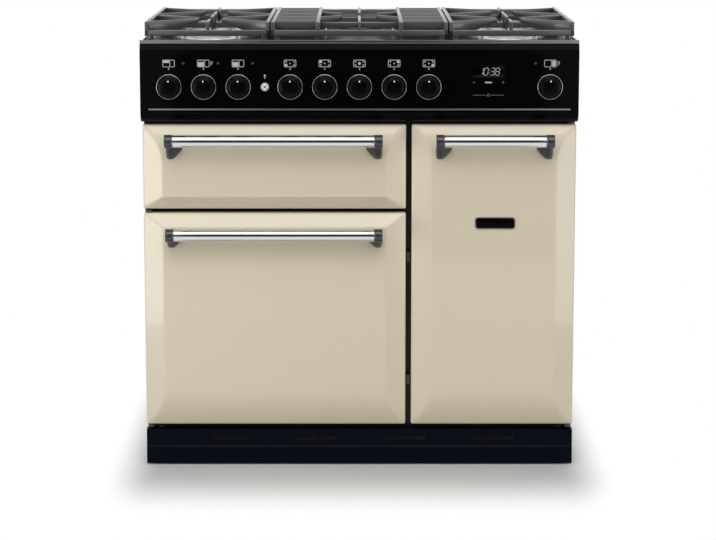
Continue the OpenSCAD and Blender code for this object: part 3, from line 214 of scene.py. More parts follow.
class FinishRecipe(NodeTree):
    """Builds the node tree of one finish."""

    stretch = {Pattern.BRUSHED: (0.02, 1.0, 1.0), Pattern.FIBRE: (0.25, 1.0, 0.6)}
    coat_roughness = 0.06
    bump_height = 0.25
    drift = (3.0, 2.0)
    smudge = (14.0, 5.0)
    smudge_share = 0.1
    speck_scale = 260.0
    speck_colour = (0.32, 0.34, 0.36, 1.0)

    def __init__(self, finish: Finish) -> None:
        """Starts a material with one shader.

        Args:
            finish: The finish to build.
        """
        self.finish = finish
        self.material = bpy.data.materials.new(finish.name)
        super().__init__(self.material)
        self.shader = self.find("BSDF_PRINCIPLED")
        self.place = self.add("TexCoord").outputs["Object"]

    def build(self) -> bpy.types.Material:
        """Sets the shader's own sockets and links the pattern to it.

        Returns:
            The finished material.
        """
        finish = self.finish
        grain = self._grain()
        colour = self._mix(self._noise(*self.drift, self.place), finish.linear(1 - finish.wander),
                           finish.linear(1 + finish.wander))
        roughness = self._range(self._noise(*self.smudge, self.place),
                                finish.roughness * (1 - self.smudge_share),
                                finish.roughness * (1 + self.smudge_share))
        bump = self.add("Bump", Strength=finish.relief, Distance=self.bump_height / finish.grain,
                        Height=grain)
        values = {"Base Color": self._marks(colour, grain), "Metallic": finish.metallic,
                  "Roughness": roughness, "Normal": bump.outputs["Normal"],
                  "Specular IOR Level": finish.gloss, "Coat Weight": finish.coat,
                  "Coat Roughness": self.coat_roughness}
        if finish.glow:
            values |= {"Emission Color": finish.linear(), "Emission Strength": finish.glow}
        for name, value in values.items():
            self.feed(self.shader.inputs[name], value)
        return self.material

    def _grain(self) -> bpy.types.NodeSocket:
        """Makes the fine pattern, stretched along X where the finish is brushed.

        Returns:
            The pattern, from 0 to 1.
        """
        pattern, place = self.finish.pattern, self.place
        if pattern in self.stretch:
            place = self.add("Mapping", Vector=place, Scale=self.stretch[pattern]).outputs["Vector"]
        detail = 6.0 if pattern in (Pattern.CAST, Pattern.FIBRE) else 2.0
        return self._noise(self.finish.grain, detail, place)

    def _marks(self, colour: bpy.types.NodeSocket, grain: bpy.types.NodeSocket) -> bpy.types.NodeSocket:
        """Adds the specks, pores or lines that the pattern has in its colour.

        Args:
            colour: Colour before the marks.
            grain: The fine pattern.

        Returns:
            Colour with the marks.
        """
        pattern = self.finish.pattern
        if pattern is Pattern.SPECKLED:
            cells = self.add("TexVoronoi", Vector=self.place, Scale=self.speck_scale)
            speck = self._range(cells.outputs["Distance"], 1.0, 0.0, 0.1, 0.2)
            return self._mix(speck, colour, self.speck_colour)
        if pattern in (Pattern.CAST, Pattern.FIBRE, Pattern.BRUSHED):
            dark = self._range(grain, 1.0, 0.0, 0.3, 0.55)
            return self._mix(dark, colour, self.finish.linear(0.72), 0.5)
        return colour

    def _noise(self, scale: float, detail: float, place: bpy.types.NodeSocket) -> bpy.types.NodeSocket:
        """Returns a noise from 0 to 1 with so many cells in a metre and so many finer layers."""
        return self.add("TexNoise", Vector=place, Scale=scale, Detail=detail).outputs["Fac"]

    def _range(self, value: bpy.types.NodeSocket, low: float, high: float,
               start: float = 0.3, end: float = 0.7) -> bpy.types.NodeSocket:
        """Maps a stretch of a value to new limits.

        Args:
            value: Value to map.
            low: Result at the start.
            high: Result at the end.
            start: Value where the stretch starts.
            end: Value where it ends.

        Returns:
            The mapped value, clamped.
        """
        remap = self.add("MapRange", Value=value, From_Min=start, From_Max=end, To_Min=low, To_Max=high)
        return remap.outputs["Result"]

    def _mix(self, factor: bpy.types.NodeSocket, first: object, second: object,
             weight: float = 1.0) -> bpy.types.NodeSocket:
        """Mixes two colours, each a socket or plain values.

        Args:
            factor: Share of the second colour.
            first: First colour.
            second: Second colour.
            weight: Largest share of the second colour.

        Returns:
            The mixed colour.
        """
        if weight < 1.0:
            factor = self._range(factor, 0.0, weight, 0.0, 1.0)
        mix = self.add("Mix")
        mix.data_type = "RGBA"
        for index, value in ((0, factor), (6, first), (7, second)):
            self.feed(mix.inputs[index], value)
        return mix.outputs[2]


CREAM_ENAMEL = Finish("cream_door_enamel", "cream_enamel", "#c6bca5", 0.36, Pattern.ENAMEL,
                      coat=0.7, grain=110.0, relief=0.02, wander=0.012)
GLOSS_BLACK = Finish("fascia_black_enamel", "gloss_black", "#050505", 0.09, Pattern.ENAMEL,
                     gloss=0.03, grain=120.0, relief=0.01, wander=0.03)
CLOCK_GLASS = Finish("clock_window_glass", "lamp_lens", "#020203", 0.08, Pattern.ENAMEL,
                     gloss=0.12, grain=200.0, relief=0.01, wander=0.02)
SATIN_BLACK = Finish("casing_black_enamel", "black_enamel", "#101114", 0.4, Pattern.ENAMEL,
                     gloss=0.25, grain=300.0, relief=0.05, wander=0.06)
HOB_BLACK = Finish("hotplate_black_enamel", "black_enamel", "#08090a", 0.2, Pattern.ENAMEL,
                   gloss=0.2, grain=150.0, relief=0.01, wander=0.05)
VENT_GREY = Finish("rear_vent_enamel", "zinc_steel", "#55575a", 0.42, Pattern.ENAMEL,
                   grain=300.0, relief=0.04, wander=0.05)
NAVY_PLINTH = Finish("plinth_navy_enamel", "navy_plinth", "#080b13", 0.3, Pattern.ENAMEL,
                     gloss=0.03, grain=160.0, relief=0.02, wander=0.05)
CHROME = Finish("bright_chrome", "chrome_steel", "#d6d7d9", 0.1, Pattern.POLISHED,
                metallic=1.0, grain=500.0, relief=0.003, wander=0.02)
RING_CHROME = Finish("bezel_chrome", "chrome_steel", "#9b9c9f", 0.16, Pattern.POLISHED,
                     metallic=1.0, grain=600.0, relief=0.01, wander=0.03)
DARK_STEEL = Finish("oiled_hinge_steel", "zinc_steel", "#4a4b4e", 0.4, Pattern.BRUSHED,
                    metallic=0.9, grain=900.0, relief=0.05, wander=0.06)
STEEL = Finish("brushed_trim_steel", "chrome_steel", "#7f8183", 0.32, Pattern.BRUSHED,
               metallic=1.0, grain=2500.0, relief=0.05, wander=0.04)
WIRE_CHROME = Finish("plated_shelf_wire", "chrome_steel", "#b4b6b9", 0.24, Pattern.POLISHED,
                     metallic=1.0, grain=600.0, relief=0.02, wander=0.05)
PEWTER = Finish("bracket_pewter", "pewter", "#4a4a4e", 0.3, Pattern.CAST,
                metallic=0.75, grain=1500.0, relief=0.05, wander=0.06)
ZINC = Finish("zinc_plated_sheet", "zinc_steel", "#8f9296", 0.44, Pattern.BRUSHED,
              metallic=1.0, grain=900.0, relief=0.05, wander=0.09)
CAST_IRON = Finish("pan_support_iron", "cast_iron", "#5c5d60", 0.34, Pattern.CAST,
                   metallic=0.55, coat=0.3, grain=700.0, relief=0.12, wander=0.09)
ALLOY = Finish("burner_alloy", "cast_alloy", "#dddedf", 0.34, Pattern.CAST,
               metallic=0.6, grain=1200.0, relief=0.1, wander=0.05)
CAP_ENAMEL = Finish("burner_cap_enamel", "black_enamel", "#141416", 0.2, Pattern.ENAMEL,
                    gloss=0.7, grain=400.0, relief=0.02, wander=0.08)
CERAMIC = Finish("electrode_ceramic", "white_ceramic", "#e6e2d8", 0.28, Pattern.ENAMEL,
                 coat=0.4, grain=800.0, relief=0.02, wander=0.03)
BRASS = Finish("gas_fitting_brass", "brass_fitting", "#a98752", 0.36, Pattern.BRUSHED,
               metallic=1.0, grain=900.0, relief=0.05, wander=0.08)
SWITCH_PLASTIC = Finish("switch_plastic", "switch_body", "#cfc8b8", 0.5, wander=0.04)
BOX_PLASTIC = Finish("terminal_box_plastic", "black_enamel", "#1c1d1f", 0.5, wander=0.05)
OVEN_ENAMEL = Finish("speckled_oven_enamel", "oven_enamel", "#202227", 0.24, Pattern.SPECKLED,
                     coat=0.4, grain=180.0, relief=0.03, wander=0.06)
WOOL = Finish("mineral_wool", "mineral_wool", "#c9bf95", 0.95, Pattern.FIBRE,
              grain=420.0, relief=0.6, wander=0.1)
ELEMENT = Finish("sheathed_element", "element_steel", "#5a4b42", 0.5, Pattern.BRUSHED,
                 metallic=0.8, grain=900.0, relief=0.08, wander=0.12)
SEAL_ROPE = Finish("woven_door_seal", "seal_rope", "#484541", 0.92, Pattern.FIBRE,
                   grain=800.0, relief=0.5, wander=0.08)
KNOB_BLACK = Finish("knob_plastic", "knob_black", "#040405", 0.26, gloss=0.09, grain=1400.0, relief=0.03,
                    wander=0.05)
WHITE_PLASTIC = Finish("button_plastic", "button_white", "#dcdcd6", 0.4, grain=1200.0, wander=0.02)
PRINT = Finish("panel_print", "button_white", "#a3a3a2", 0.55, grain=1500.0, relief=0.03, wander=0.03)
FAINT_PRINT = Finish("faint_panel_print", "button_white", "#5c5c5e", 0.55, grain=1500.0, relief=0.03)
RED_LENS = Finish("neon_lens", "lamp_lens", "#3b1513", 0.2, Pattern.ENAMEL, coat=0.2, grain=500.0,
                  relief=0.02, glow=0.02)
DIGIT_GLOW = Finish("clock_digit", "lamp_lens", "#85898c", 0.5, grain=1500.0, relief=0.02, glow=0.15)


# Mesh building


class Axis(Enum):
    """Direction in which a turned or flat shape grows from its centre."""

    UP = (0.0, "X")
    FORWARD = (90.0, "X")
    BACK = (-90.0, "X")
    RIGHT = (90.0, "Y")

    def turn(self) -> Matrix:
        """Returns the rotation that takes Z to this direction."""
        return Matrix.Rotation(math.radians(self.value[0]), 4, self.value[1])


def link_object(name: str, data: bpy.types.ID) -> bpy.types.Object:
    """Puts a mesh, a lamp or a camera into the scene.

    Args:
        name: Name of its object.
        data: The mesh, the lamp or the camera.

    Returns:
        The object.
    """
    made = bpy.data.objects.new(name, data)
    bpy.context.scene.collection.objects.link(made)
    return made


def box_centre(node: str) -> Vector:
    """Returns the middle of a CAD node's box."""
    low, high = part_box(node)
    return (low + high) / 2


def ease(share: float) -> float:
    """Returns a share from 0 to 1 that starts and ends slowly."""
    return share * share * (3 - 2 * share)


def made_verts(result: dict[str, list]) -> list[BMVert]:
    """Returns the vertices that an extrusion made."""
    return [item for item in result["geom"] if isinstance(item, BMVert)]


def grow(part: BMesh, way: Vector) -> None:
    """Extrudes the only faces of a shape into a solid by the distance and direction of way."""
    grown = bmesh.ops.extrude_face_region(part, geom=list(part.faces))
    bmesh.ops.translate(part, vec=way, verts=made_verts(grown))


def round_edges(part: BMesh, edges: Iterable[BMEdge], radius: float, segments: int = 2,
                clamp: bool = True) -> None:
    """Rounds edges.

    Args:
        part: The shape.
        edges: Edges to round.
        radius: Radius, or 0 to leave them.
        segments: Number of faces over the radius.
        clamp: Whether the radius is held back where two roundings would meet.
    """
    if radius > 0:
        bmesh.ops.bevel(part, geom=list(edges), offset=radius, segments=segments, profile=0.5,
                        affect="EDGES", clamp_overlap=clamp, material=-1)


def spun(profile: Sequence[tuple[float, float]], steps: int) -> BMesh:
    """Turns a profile round Z.

    Args:
        profile: Points as radius and height.
        steps: Number of faces round it.

    Returns:
        The turned shape.
    """
    part = bmesh.new()
    points = [part.verts.new((radius, 0.0, height)) for radius, height in profile]
    edges = [part.edges.new(pair) for pair in zip(points, points[1:])]
    bmesh.ops.spin(part, geom=points + edges, cent=(0, 0, 0), axis=(0, 0, 1), dvec=(0, 0, 0),
                   angle=math.tau, steps=steps, use_merge=True)
    bmesh.ops.remove_doubles(part, verts=part.verts, dist=1e-6)
    return part


def pressed_sheet(across: Sequence[float], along: Sequence[float],
                  press: Callable[[float, float], Vector]) -> BMesh:
    """Makes a grid with its lines where they are asked for and presses it into a form.

    Args:
        across: Places of the lines across.
        along: Places of the lines along.
        press: Gives the point for a place across and a place along.

    Returns:
        The pressed sheet.
    """
    part = bmesh.new()
    columns, rows = len(across) - 1, len(along) - 1
    bmesh.ops.create_grid(part, x_segments=columns, y_segments=rows, size=0.5)
    for vert in part.verts:
        column, row = round((vert.co.x + 0.5) * columns), round((vert.co.y + 0.5) * rows)
        vert.co = press(across[column], along[row])
    return part


def face_towards(part: BMesh, way: Sequence[float]) -> None:
    """Turns the faces of an open sheet so that its largest one looks in one direction.

    Args:
        part: The sheet.
        way: The direction.
    """
    largest = max(part.faces, key=lambda face: face.calc_area())
    bmesh.ops.recalc_face_normals(part, faces=part.faces)
    if largest.normal.dot(Vector(way)) < 0:
        bmesh.ops.reverse_faces(part, faces=part.faces)


def in_metres(points: Sequence[tuple[float, float]], radius: float = 0.0) -> list[tuple[float, float]]:
    """Gives a profile in metres.

    Args:
        points: Distance past the radius and distance along the axis, in millimetres.
        radius: Radius that they are counted from, in metres.

    Returns:
        Points as radius and distance.
    """
    return [(radius + out * MM, along * MM) for out, along in points]


class Piece:
    """A piece under construction, made of shapes that lie or stand in each other."""

    def __init__(self, name: str, mesh: Optional[BMesh] = None) -> None:
        """Starts a piece.

        Args:
            name: Name of the finished object.
            mesh: Shape that it takes over with its faces as they look, or none for an empty piece.
        """
        self.name = name
        self.mesh: BMesh = bmesh.new() if mesh is None else mesh

    def block(self, low: Sequence[float], high: Sequence[float], bevel: float = 0.0,
              turn: Optional[Matrix] = None) -> None:
        """Adds a block with rounded edges.

        Args:
            low: Lowest corner.
            high: Highest corner.
            bevel: Radius of its edges.
            turn: Transform applied afterwards.
        """
        part = bmesh.new()
        bmesh.ops.create_cube(part, size=1.0)
        bmesh.ops.scale(part, vec=Vector(high) - Vector(low), verts=part.verts)
        bmesh.ops.translate(part, vec=(Vector(high) + Vector(low)) / 2, verts=part.verts)
        round_edges(part, part.edges, bevel)
        self.join(part, turn)

    def lathe(self, profile: Sequence[tuple[float, float]], centre: Sequence[float], axis: Axis,
              steps: int = 48) -> None:
        """Adds a turned shape.

        Args:
            profile: Points as radius and distance along the axis.
            centre: Place of the profile's origin.
            axis: Direction of the axis.
            steps: Number of faces round it.
        """
        self.join(spun(profile, steps), Matrix.Translation(Vector(centre)) @ axis.turn())

    def plate(self, centre: Sequence[float], width: float, height: float, thickness: float,
              corner: float, edge: float, axis: Axis = Axis.FORWARD) -> None:
        """Adds a flat plate with rounded corners and a rounded front edge.

        Args:
            centre: Middle of its back.
            width: Width.
            height: Height.
            thickness: Thickness.
            corner: Radius of its corners.
            edge: Radius of its front edge.
            axis: Direction in which it grows.
        """
        part = bmesh.new()
        bmesh.ops.create_grid(part, x_segments=1, y_segments=1, size=0.5)
        bmesh.ops.scale(part, vec=(width, height, 1.0), verts=part.verts)
        bmesh.ops.bevel(part, geom=list(part.verts), offset=corner, segments=6, profile=0.5,
                        affect="VERTICES", material=-1)
        grow(part, Vector((0.0, 0.0, thickness)))
        front = [e for e in part.edges if all(v.co.z > thickness * 0.9 for v in e.verts)]
        round_edges(part, front, edge)
        self.join(part, Matrix.Translation(Vector(centre)) @ axis.turn())

    def prism(self, outline: Sequence[tuple[float, float]], length: float, bevel: float,
              turn: Matrix) -> None:
        """Adds an outline in X and Y, grown along Z.

        Args:
            outline: Corners of the outline.
            length: Length along Z.
            bevel: Radius of its edges.
            turn: Transform applied afterwards.
        """
        part = bmesh.new()
        part.faces.new([part.verts.new((x, y, 0.0)) for x, y in outline])
        grow(part, Vector((0.0, 0.0, length)))
        round_edges(part, part.edges, bevel)
        self.join(part, turn)

    def loft(self, rings: Sequence[tuple[Matrix, float]], steps: int = 32) -> None:
        """Adds a skin over a row of rings, closed at both ends.

        Args:
            rings: For each ring, the transform of a circle of radius 1 in X and Y, and the share by
                which the circle is squared and gets narrower towards -Y.
            steps: Number of faces round it.
        """
        part = bmesh.new()
        loops: list[set[BMEdge]] = []
        for index, (ring, wedge) in enumerate(rings):
            made = bmesh.ops.create_circle(part, cap_ends=index in (0, len(rings) - 1), radius=1.0,
                                           segments=steps)
            flare = 0.45 * wedge
            for vert in made["verts"]:
                x, y = (math.copysign(abs(share) ** (1 - flare), share) for share in vert.co.xy)
                vert.co = ring @ Vector((x * (1 + flare * y), y, 0.0))
            loops.append({edge for vert in made["verts"] for edge in vert.link_edges})
        for lower, upper in zip(loops, loops[1:]):
            bmesh.ops.bridge_loops(part, edges=list(lower | upper))
        self.join(part)

    def ink(self, x: float, z: float, width: float, height: float, panel_y: float) -> None:
        """Prints a filled rectangle on the control panel.

        Args:
            x: Middle across.
            z: Middle height.
            width: Width.
            height: Height.
            panel_y: Face of the panel.
        """
        self.block((x - width / 2, panel_y - INK, z - height / 2),
                   (x + width / 2, panel_y + INK, z + height / 2))

    def ink_disc(self, x: float, z: float, radius: float, panel_y: float) -> None:
        """Prints a filled disc on the control panel."""
        self.lathe(rounded_profile(radius, 2 * INK, 0.02 * MM), (x, panel_y + INK, z), Axis.FORWARD, 20)

    def join(self, part: BMesh, turn: Optional[Matrix] = None) -> None:
        """Takes in a finished shape with its faces turned outwards.

        Args:
            part: The shape, which is freed.
            turn: Transform applied first.
        """
        bmesh.ops.recalc_face_normals(part, faces=part.faces)
        if turn is not None:
            bmesh.ops.transform(part, matrix=turn, verts=part.verts)
        scratch = bpy.data.meshes.new("scratch")
        part.to_mesh(scratch)
        part.free()
        self.mesh.from_mesh(scratch)
        bpy.data.meshes.remove(scratch)

    def finish(self, body: str, finish: Finish, replaces: Iterable[str] = (),
               crease: float = 38.0) -> bpy.types.Object:
        """Makes the object, lets it ride on its body and dresses it.

        Args:
            body: CAD body that carries it.
            finish: Its finish.
            replaces: CAD nodes that it stands for.
            crease: Angle in degrees above which an edge stays sharp.

        Returns:
            The finished object.
        """
        piece = self.to_object()
        piece.data.shade_smooth()
        piece.data.set_sharp_from_angle(angle=math.radians(crease))
        piece.data.materials.append(finish.material())
        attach(piece, body)
        nodes = list(replaces)
        if nodes:
            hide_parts(*nodes)
        LOG.info("%s: %d faces on %s", self.name, len(piece.data.polygons), body)
        return piece

    def to_object(self) -> bpy.types.Object:
        """Puts the shapes into the scene.

        Returns:
            The bare object.
        """
        data = bpy.data.meshes.new(self.name)
        self.mesh.to_mesh(data)
        self.mesh.free()
        return link_object(self.name, data)


def rounded_profile(radius: float, length: float, edge: float) -> list[tuple[float, float]]:
    """Gives a lathe profile of a closed cylinder with rounded ends.

    Args:
        radius: Radius of the cylinder.
        length: Its length.
        edge: Radius of its edges.

    Returns:
        Points as radius and distance.
    """
    arc = [i * math.pi / 8 for i in range(5)]
    start = [(radius - edge + edge * math.sin(a), edge - edge * math.cos(a)) for a in arc]
    end = [(r, length - along) for r, along in reversed(start)]
    return [(0.0, 0.0)] + start + end + [(0.0, length)]


def dress(finish: Finish, *nodes: str) -> None:
    """Gives CAD nodes that keep their shape a finish.

    Args:
        finish: The finish.
        nodes: Names of the nodes.
    """
    for name in nodes:
        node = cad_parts[name]
        if not node.material_slots:
            node.data.materials.append(finish.material())
        for slot in node.material_slots:
            slot.material = finish.material()
    LOG.info("%s: %s", finish.name, ", ".join(nodes))


# Doors


class End(Enum):
    """Form of the top or bottom end of a door front."""

    ROLLED = "long round"
    SHARP = "short bevel"


def smooth_min(first: float, second: float, width: float) -> float:
    """Gives the smaller of two values with a rounded change between them.

    Args:
        first: First value.
        second: Second value.
        width: Difference over which the change is rounded.

    Returns:
        The smaller value, or a little less near the change.
    """
    near = max(width - abs(first - second), 0.0) / width
    return min(first, second) - near * near * width / 4


@dataclass
class DoorFront:
    """Pressed front of a door or of the grill drawer."""

    node: str
    body: str
    bottom: End
    top: End
    pillow: float = 20 * MM
    side_bevel: float = 42 * MM
    sharp_h: float = 28 * MM
    roll_h: float = 84 * MM
    corner: float = 4 * MM
    rim: float = 2.5 * MM
    sheet: float = 2 * MM
    lip: float = 12 * MM
    crease: float = 1.4 * MM
    step: float = 2.5 * MM
    mitre: float = 9.0

    def build(self) -> bpy.types.Object:
        """Presses the front from a grid and folds its walls back.

        Returns:
            The enamelled front.
        """
        low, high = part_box(self.node)
        width, height = high.x - low.x, high.z - low.z

        def press(x: float, z: float) -> Vector:
            """Gives the point of the front for its distances from the left and the bottom."""
            depth = self._depth(min(x, width - x), z, height - z)
            x, z = self._corner(x, z, width, height)
            return Vector((low.x + x, low.y + self.pillow - depth, low.z + z))

        across = self._stations(width, self.side_bevel, self.side_bevel)
        upward = self._stations(height, self._reach(self.bottom), self._reach(self.top))
        part = pressed_sheet(across, upward, press)
        self._fold(part, low, high)
        face_towards(part, (0.0, -1.0, 0.0))
        piece = Piece(self.node + "_enamelled", part)
        return piece.finish(self.body, CREAM_ENAMEL, [self.node], crease=50.0)

    def _reach(self, end: End) -> float:
        """Returns how far an end's form reaches from the edge."""
        return self.roll_h if end is End.ROLLED else self.sharp_h

    def _stations(self, length: float, near: float, far: float) -> list[float]:
        """Spreads grid lines along one side: close over the bevels, wide between them.

        Args:
            length: Length of the side.
            near: Reach of the form at its start.
            far: Reach of the form at its end.

        Returns:
            Distances from the start.
        """
        margin = 4 * MM

        def ramp(reach: float) -> list[float]:
            """Returns the distances over one form."""
            rim = [self.rim * (1 - math.cos(i * math.pi / 8)) for i in range(5)]
            count = math.ceil((reach + margin - self.rim) / self.step)
            return rim + [self.rim + (reach + margin - self.rim) * i / count for i in range(1, count + 1)]

        start, end = ramp(near), [length - d for d in reversed(ramp(far))]
        count = math.ceil((end[0] - start[-1]) / (40 * MM))
        between = [start[-1] + (end[0] - start[-1]) * i / count for i in range(1, count)]
        return start + between + end

    def _end_depth(self, rise: float, end: End) -> float:
        """Gives the depth that one end's form allows.

        Args:
            rise: Distance from the end.
            end: Form of the end.

        Returns:
            Depth in front of the rim.
        """
        if end is End.SHARP:
            return smooth_min(self.pillow * rise / self.sharp_h, self.pillow, self.crease)
        radius = (self.roll_h ** 2 + self.pillow ** 2) / (2 * self.pillow)
        left = max(self.roll_h - rise, 0.0)
        return self.pillow - radius + math.sqrt(radius ** 2 - left ** 2)

    def _depth(self, inset: float, rise: float, drop: float) -> float:
        """Gives how far a point stands in front of the rim.

        Args:
            inset: Distance from the nearer side.
            rise: Distance from the bottom.
            drop: Distance from the top.

        Returns:
            Depth in front of the rim, below 0 over its rounded edge.
        """
        side = smooth_min(self.pillow * inset / self.side_bevel, self.pillow, self.crease)
        ends = (side, self._end_depth(rise, self.bottom), self._end_depth(drop, self.top))
        lost = sum((self.pillow - depth) ** self.mitre for depth in ends) ** (1 / self.mitre)
        depth = max(self.pillow - lost, 0.0)
        edge = min(inset, rise, drop)
        if edge < self.rim:
            depth -= self.rim - math.sqrt(self.rim ** 2 - (self.rim - edge) ** 2)
        return depth

    def _corner(self, x: float, z: float, width: float, height: float) -> tuple[float, float]:
        """Rounds the outline's corners by moving the grid's square corners onto arcs.

        Args:
            x: Distance from the left.
            z: Distance from the bottom.
            width: Width of the front.
            height: Height of the front.

        Returns:
            The moved distances.
        """
        pivot_x = min(max(x, self.corner), width - self.corner)
        pivot_z = min(max(z, self.corner), height - self.corner)
        way = Vector((x - pivot_x, z - pivot_z))
        if way.x and way.y:
            way *= max(abs(way.x), abs(way.y)) / way.length
        return pivot_x + way.x, pivot_z + way.y

    def _fold(self, part: BMesh, low: Vector, high: Vector) -> None:
        """Folds the walls back from the rim and a lip inwards behind them.

        Args:
            part: The pressed front.
            low: Lowest corner of the CAD node.
            high: Highest corner of the CAD node.
        """
        for inward, back in ((0.0, high.y), (self.sheet, high.y), (self.sheet, high.y - self.lip)):
            rim = [edge for edge in part.edges if edge.is_boundary]
            for vert in made_verts(bmesh.ops.extrude_edge_only(part, edges=rim)):
                vert.co.y = back
                if inward and back == high.y:
                    pivot = Vector((min(max(vert.co.x, low.x + self.corner), high.x - self.corner),
                                    back,
                                    min(max(vert.co.z, low.z + self.corner), high.z - self.corner)))
                    vert.co = pivot + (vert.co - pivot) * (1 - inward / self.corner)


@dataclass
class Handle:
    """Chrome bar held by two dark brackets."""

    name: str
    body: str
    foot_drop: float
    bracket_w: float = 16 * MM
    ring_w: float = 1.8 * MM
    collar_proud: float = 1 * MM
    foot_half_w: float = 13.5 * MM
    foot_half_h: float = 13 * MM
    foot_in: float = 6 * MM
    foot_lean: float = 0.4
    sunk: float = 4 * MM
    reach: float = 53 * MM

    def build(self) -> None:
        """Turns the bar and shapes both brackets."""
        low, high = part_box(self.name + "_handle_bar")
        centre = (low + high) / 2
        radius = (high.z - low.z) / 2
        bar = Piece(self.name + "_chrome_bar")
        bar.lathe(rounded_profile(radius, high.x - low.x, 0.8 * MM), (low.x, centre.y, centre.z),
                  Axis.RIGHT, 72)
        bar.finish(self.body, CHROME, [self.name + "_handle_bar"])
        brackets = Piece(self.name + "_cast_brackets")
        rings = Piece(self.name + "_collar_rings")
        ring = in_metres([(-1, 0), (0.7, 0), (0.9, 0.4), (0.9, 1.4), (0.7, 1.8), (-1, 1.8), (-1, 0)], radius)
        for side, end_x in ((-1, low.x), (1, high.x)):
            self._bracket(brackets, side, Vector((end_x, centre.y, centre.z)), radius + self.collar_proud)
            ring_x = end_x - self.ring_w if side > 0 else end_x
            rings.lathe(ring, (ring_x, centre.y, centre.z), Axis.RIGHT)
        brackets.finish(self.body, PEWTER, [self.name + "_handle_brackets"])
        rings.finish(self.body, STEEL)

    def _bracket(self, piece: Piece, side: int, end: Vector, collar_r: float) -> None:
        """Adds one bracket: a collar, a neck that sweeps down and inwards, and its foot.

        Args:
            piece: Piece that takes the shapes.
            side: -1 for the left bracket, 1 for the right one.
            end: End of the bar's centre line.
            collar_r: Radius of the collar.
        """
        start_x = end.x if side > 0 else end.x - self.bracket_w
        piece.lathe(rounded_profile(collar_r, self.bracket_w, 1.6 * MM), (start_x, end.y, end.z), Axis.RIGHT)
        middle_x = start_x + self.bracket_w / 2
        front_y = end.y - collar_r + self.reach
        top = Vector((middle_x, end.y, end.z - 1 * MM))
        foot = Vector((middle_x - side * self.foot_in, front_y - 3 * MM, end.z - self.foot_drop))
        neck_w, neck_h = self.bracket_w / 2 - 0.6 * MM, collar_r - 3.5 * MM
        end_w, end_h = self.foot_half_w - 1.4 * MM, self.foot_half_h - 1.6 * MM
        rings = []
        for share in (index / 8 for index in range(9)):
            swing = ease(share)
            spot = Vector((top.x + (foot.x - top.x) * swing, top.y + (foot.y - top.y) * share,
                           top.z + (foot.z - top.z) * swing))
            half_w, half_h = neck_w + (end_w - neck_w) * swing, neck_h + (end_h - neck_h) * swing
            rings.append((self._ring(spot, half_w, half_h, -side * self.foot_lean * swing), swing))
        for forward, shrink in ((0.5 * MM, 0.2 * MM), (1.5 * MM, 0.0), (3.5 * MM + self.sunk, 0.0)):
            rings.append((self._ring(foot + Vector((0, forward, 0)), self.foot_half_w - shrink,
                                     self.foot_half_h - shrink, -side * self.foot_lean), 1.0))
        piece.loft(rings)

    @staticmethod
    def _ring(spot: Vector, half_w: float, half_h: float, lean: float) -> Matrix:
        """Gives the transform of one upright ring of the neck.

        Args:
            spot: Its middle.
            half_w: Half its width.
            half_h: Half its height.
            lean: Shift across for each metre of rise.

        Returns:
            The transform of a circle of radius 1.
        """
        slant = Matrix.Identity(4)
        slant[0][1] = lean
        return (Matrix.Translation(spot) @ Axis.FORWARD.turn() @ slant
                @ Matrix.Diagonal((half_w, half_h, 1.0, 1.0)))


@dataclass
class Badge:
    """Blank plate with a narrow steel rim on the right door."""

    height_z: float = 517 * MM
    offset_x: float = 3 * MM
    width: float = 84 * MM
    height: float = 25 * MM
    corner: float = 7 * MM
    rim: float = 2.2 * MM

    def build(self) -> None:
        """Makes the rim and the dark field inside it."""
        low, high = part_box("right_door_skin")
        centre = Vector(((low.x + high.x) / 2 + self.offset_x, low.y + 0.4 * MM, self.height_z))
        for name, finish, inset, thickness, edge in (
                ("badge_rim", STEEL, 0.0, 2.6 * MM, 0.9 * MM),
                ("badge_face", GLOSS_BLACK, self.rim, 2.9 * MM, 0.4 * MM)):
            plate = Piece(name)
            plate.plate(centre, self.width - 2 * inset, self.height - 2 * inset, thickness,
                        self.corner - inset, edge)
            plate.finish("right_door", finish)


# Control panel


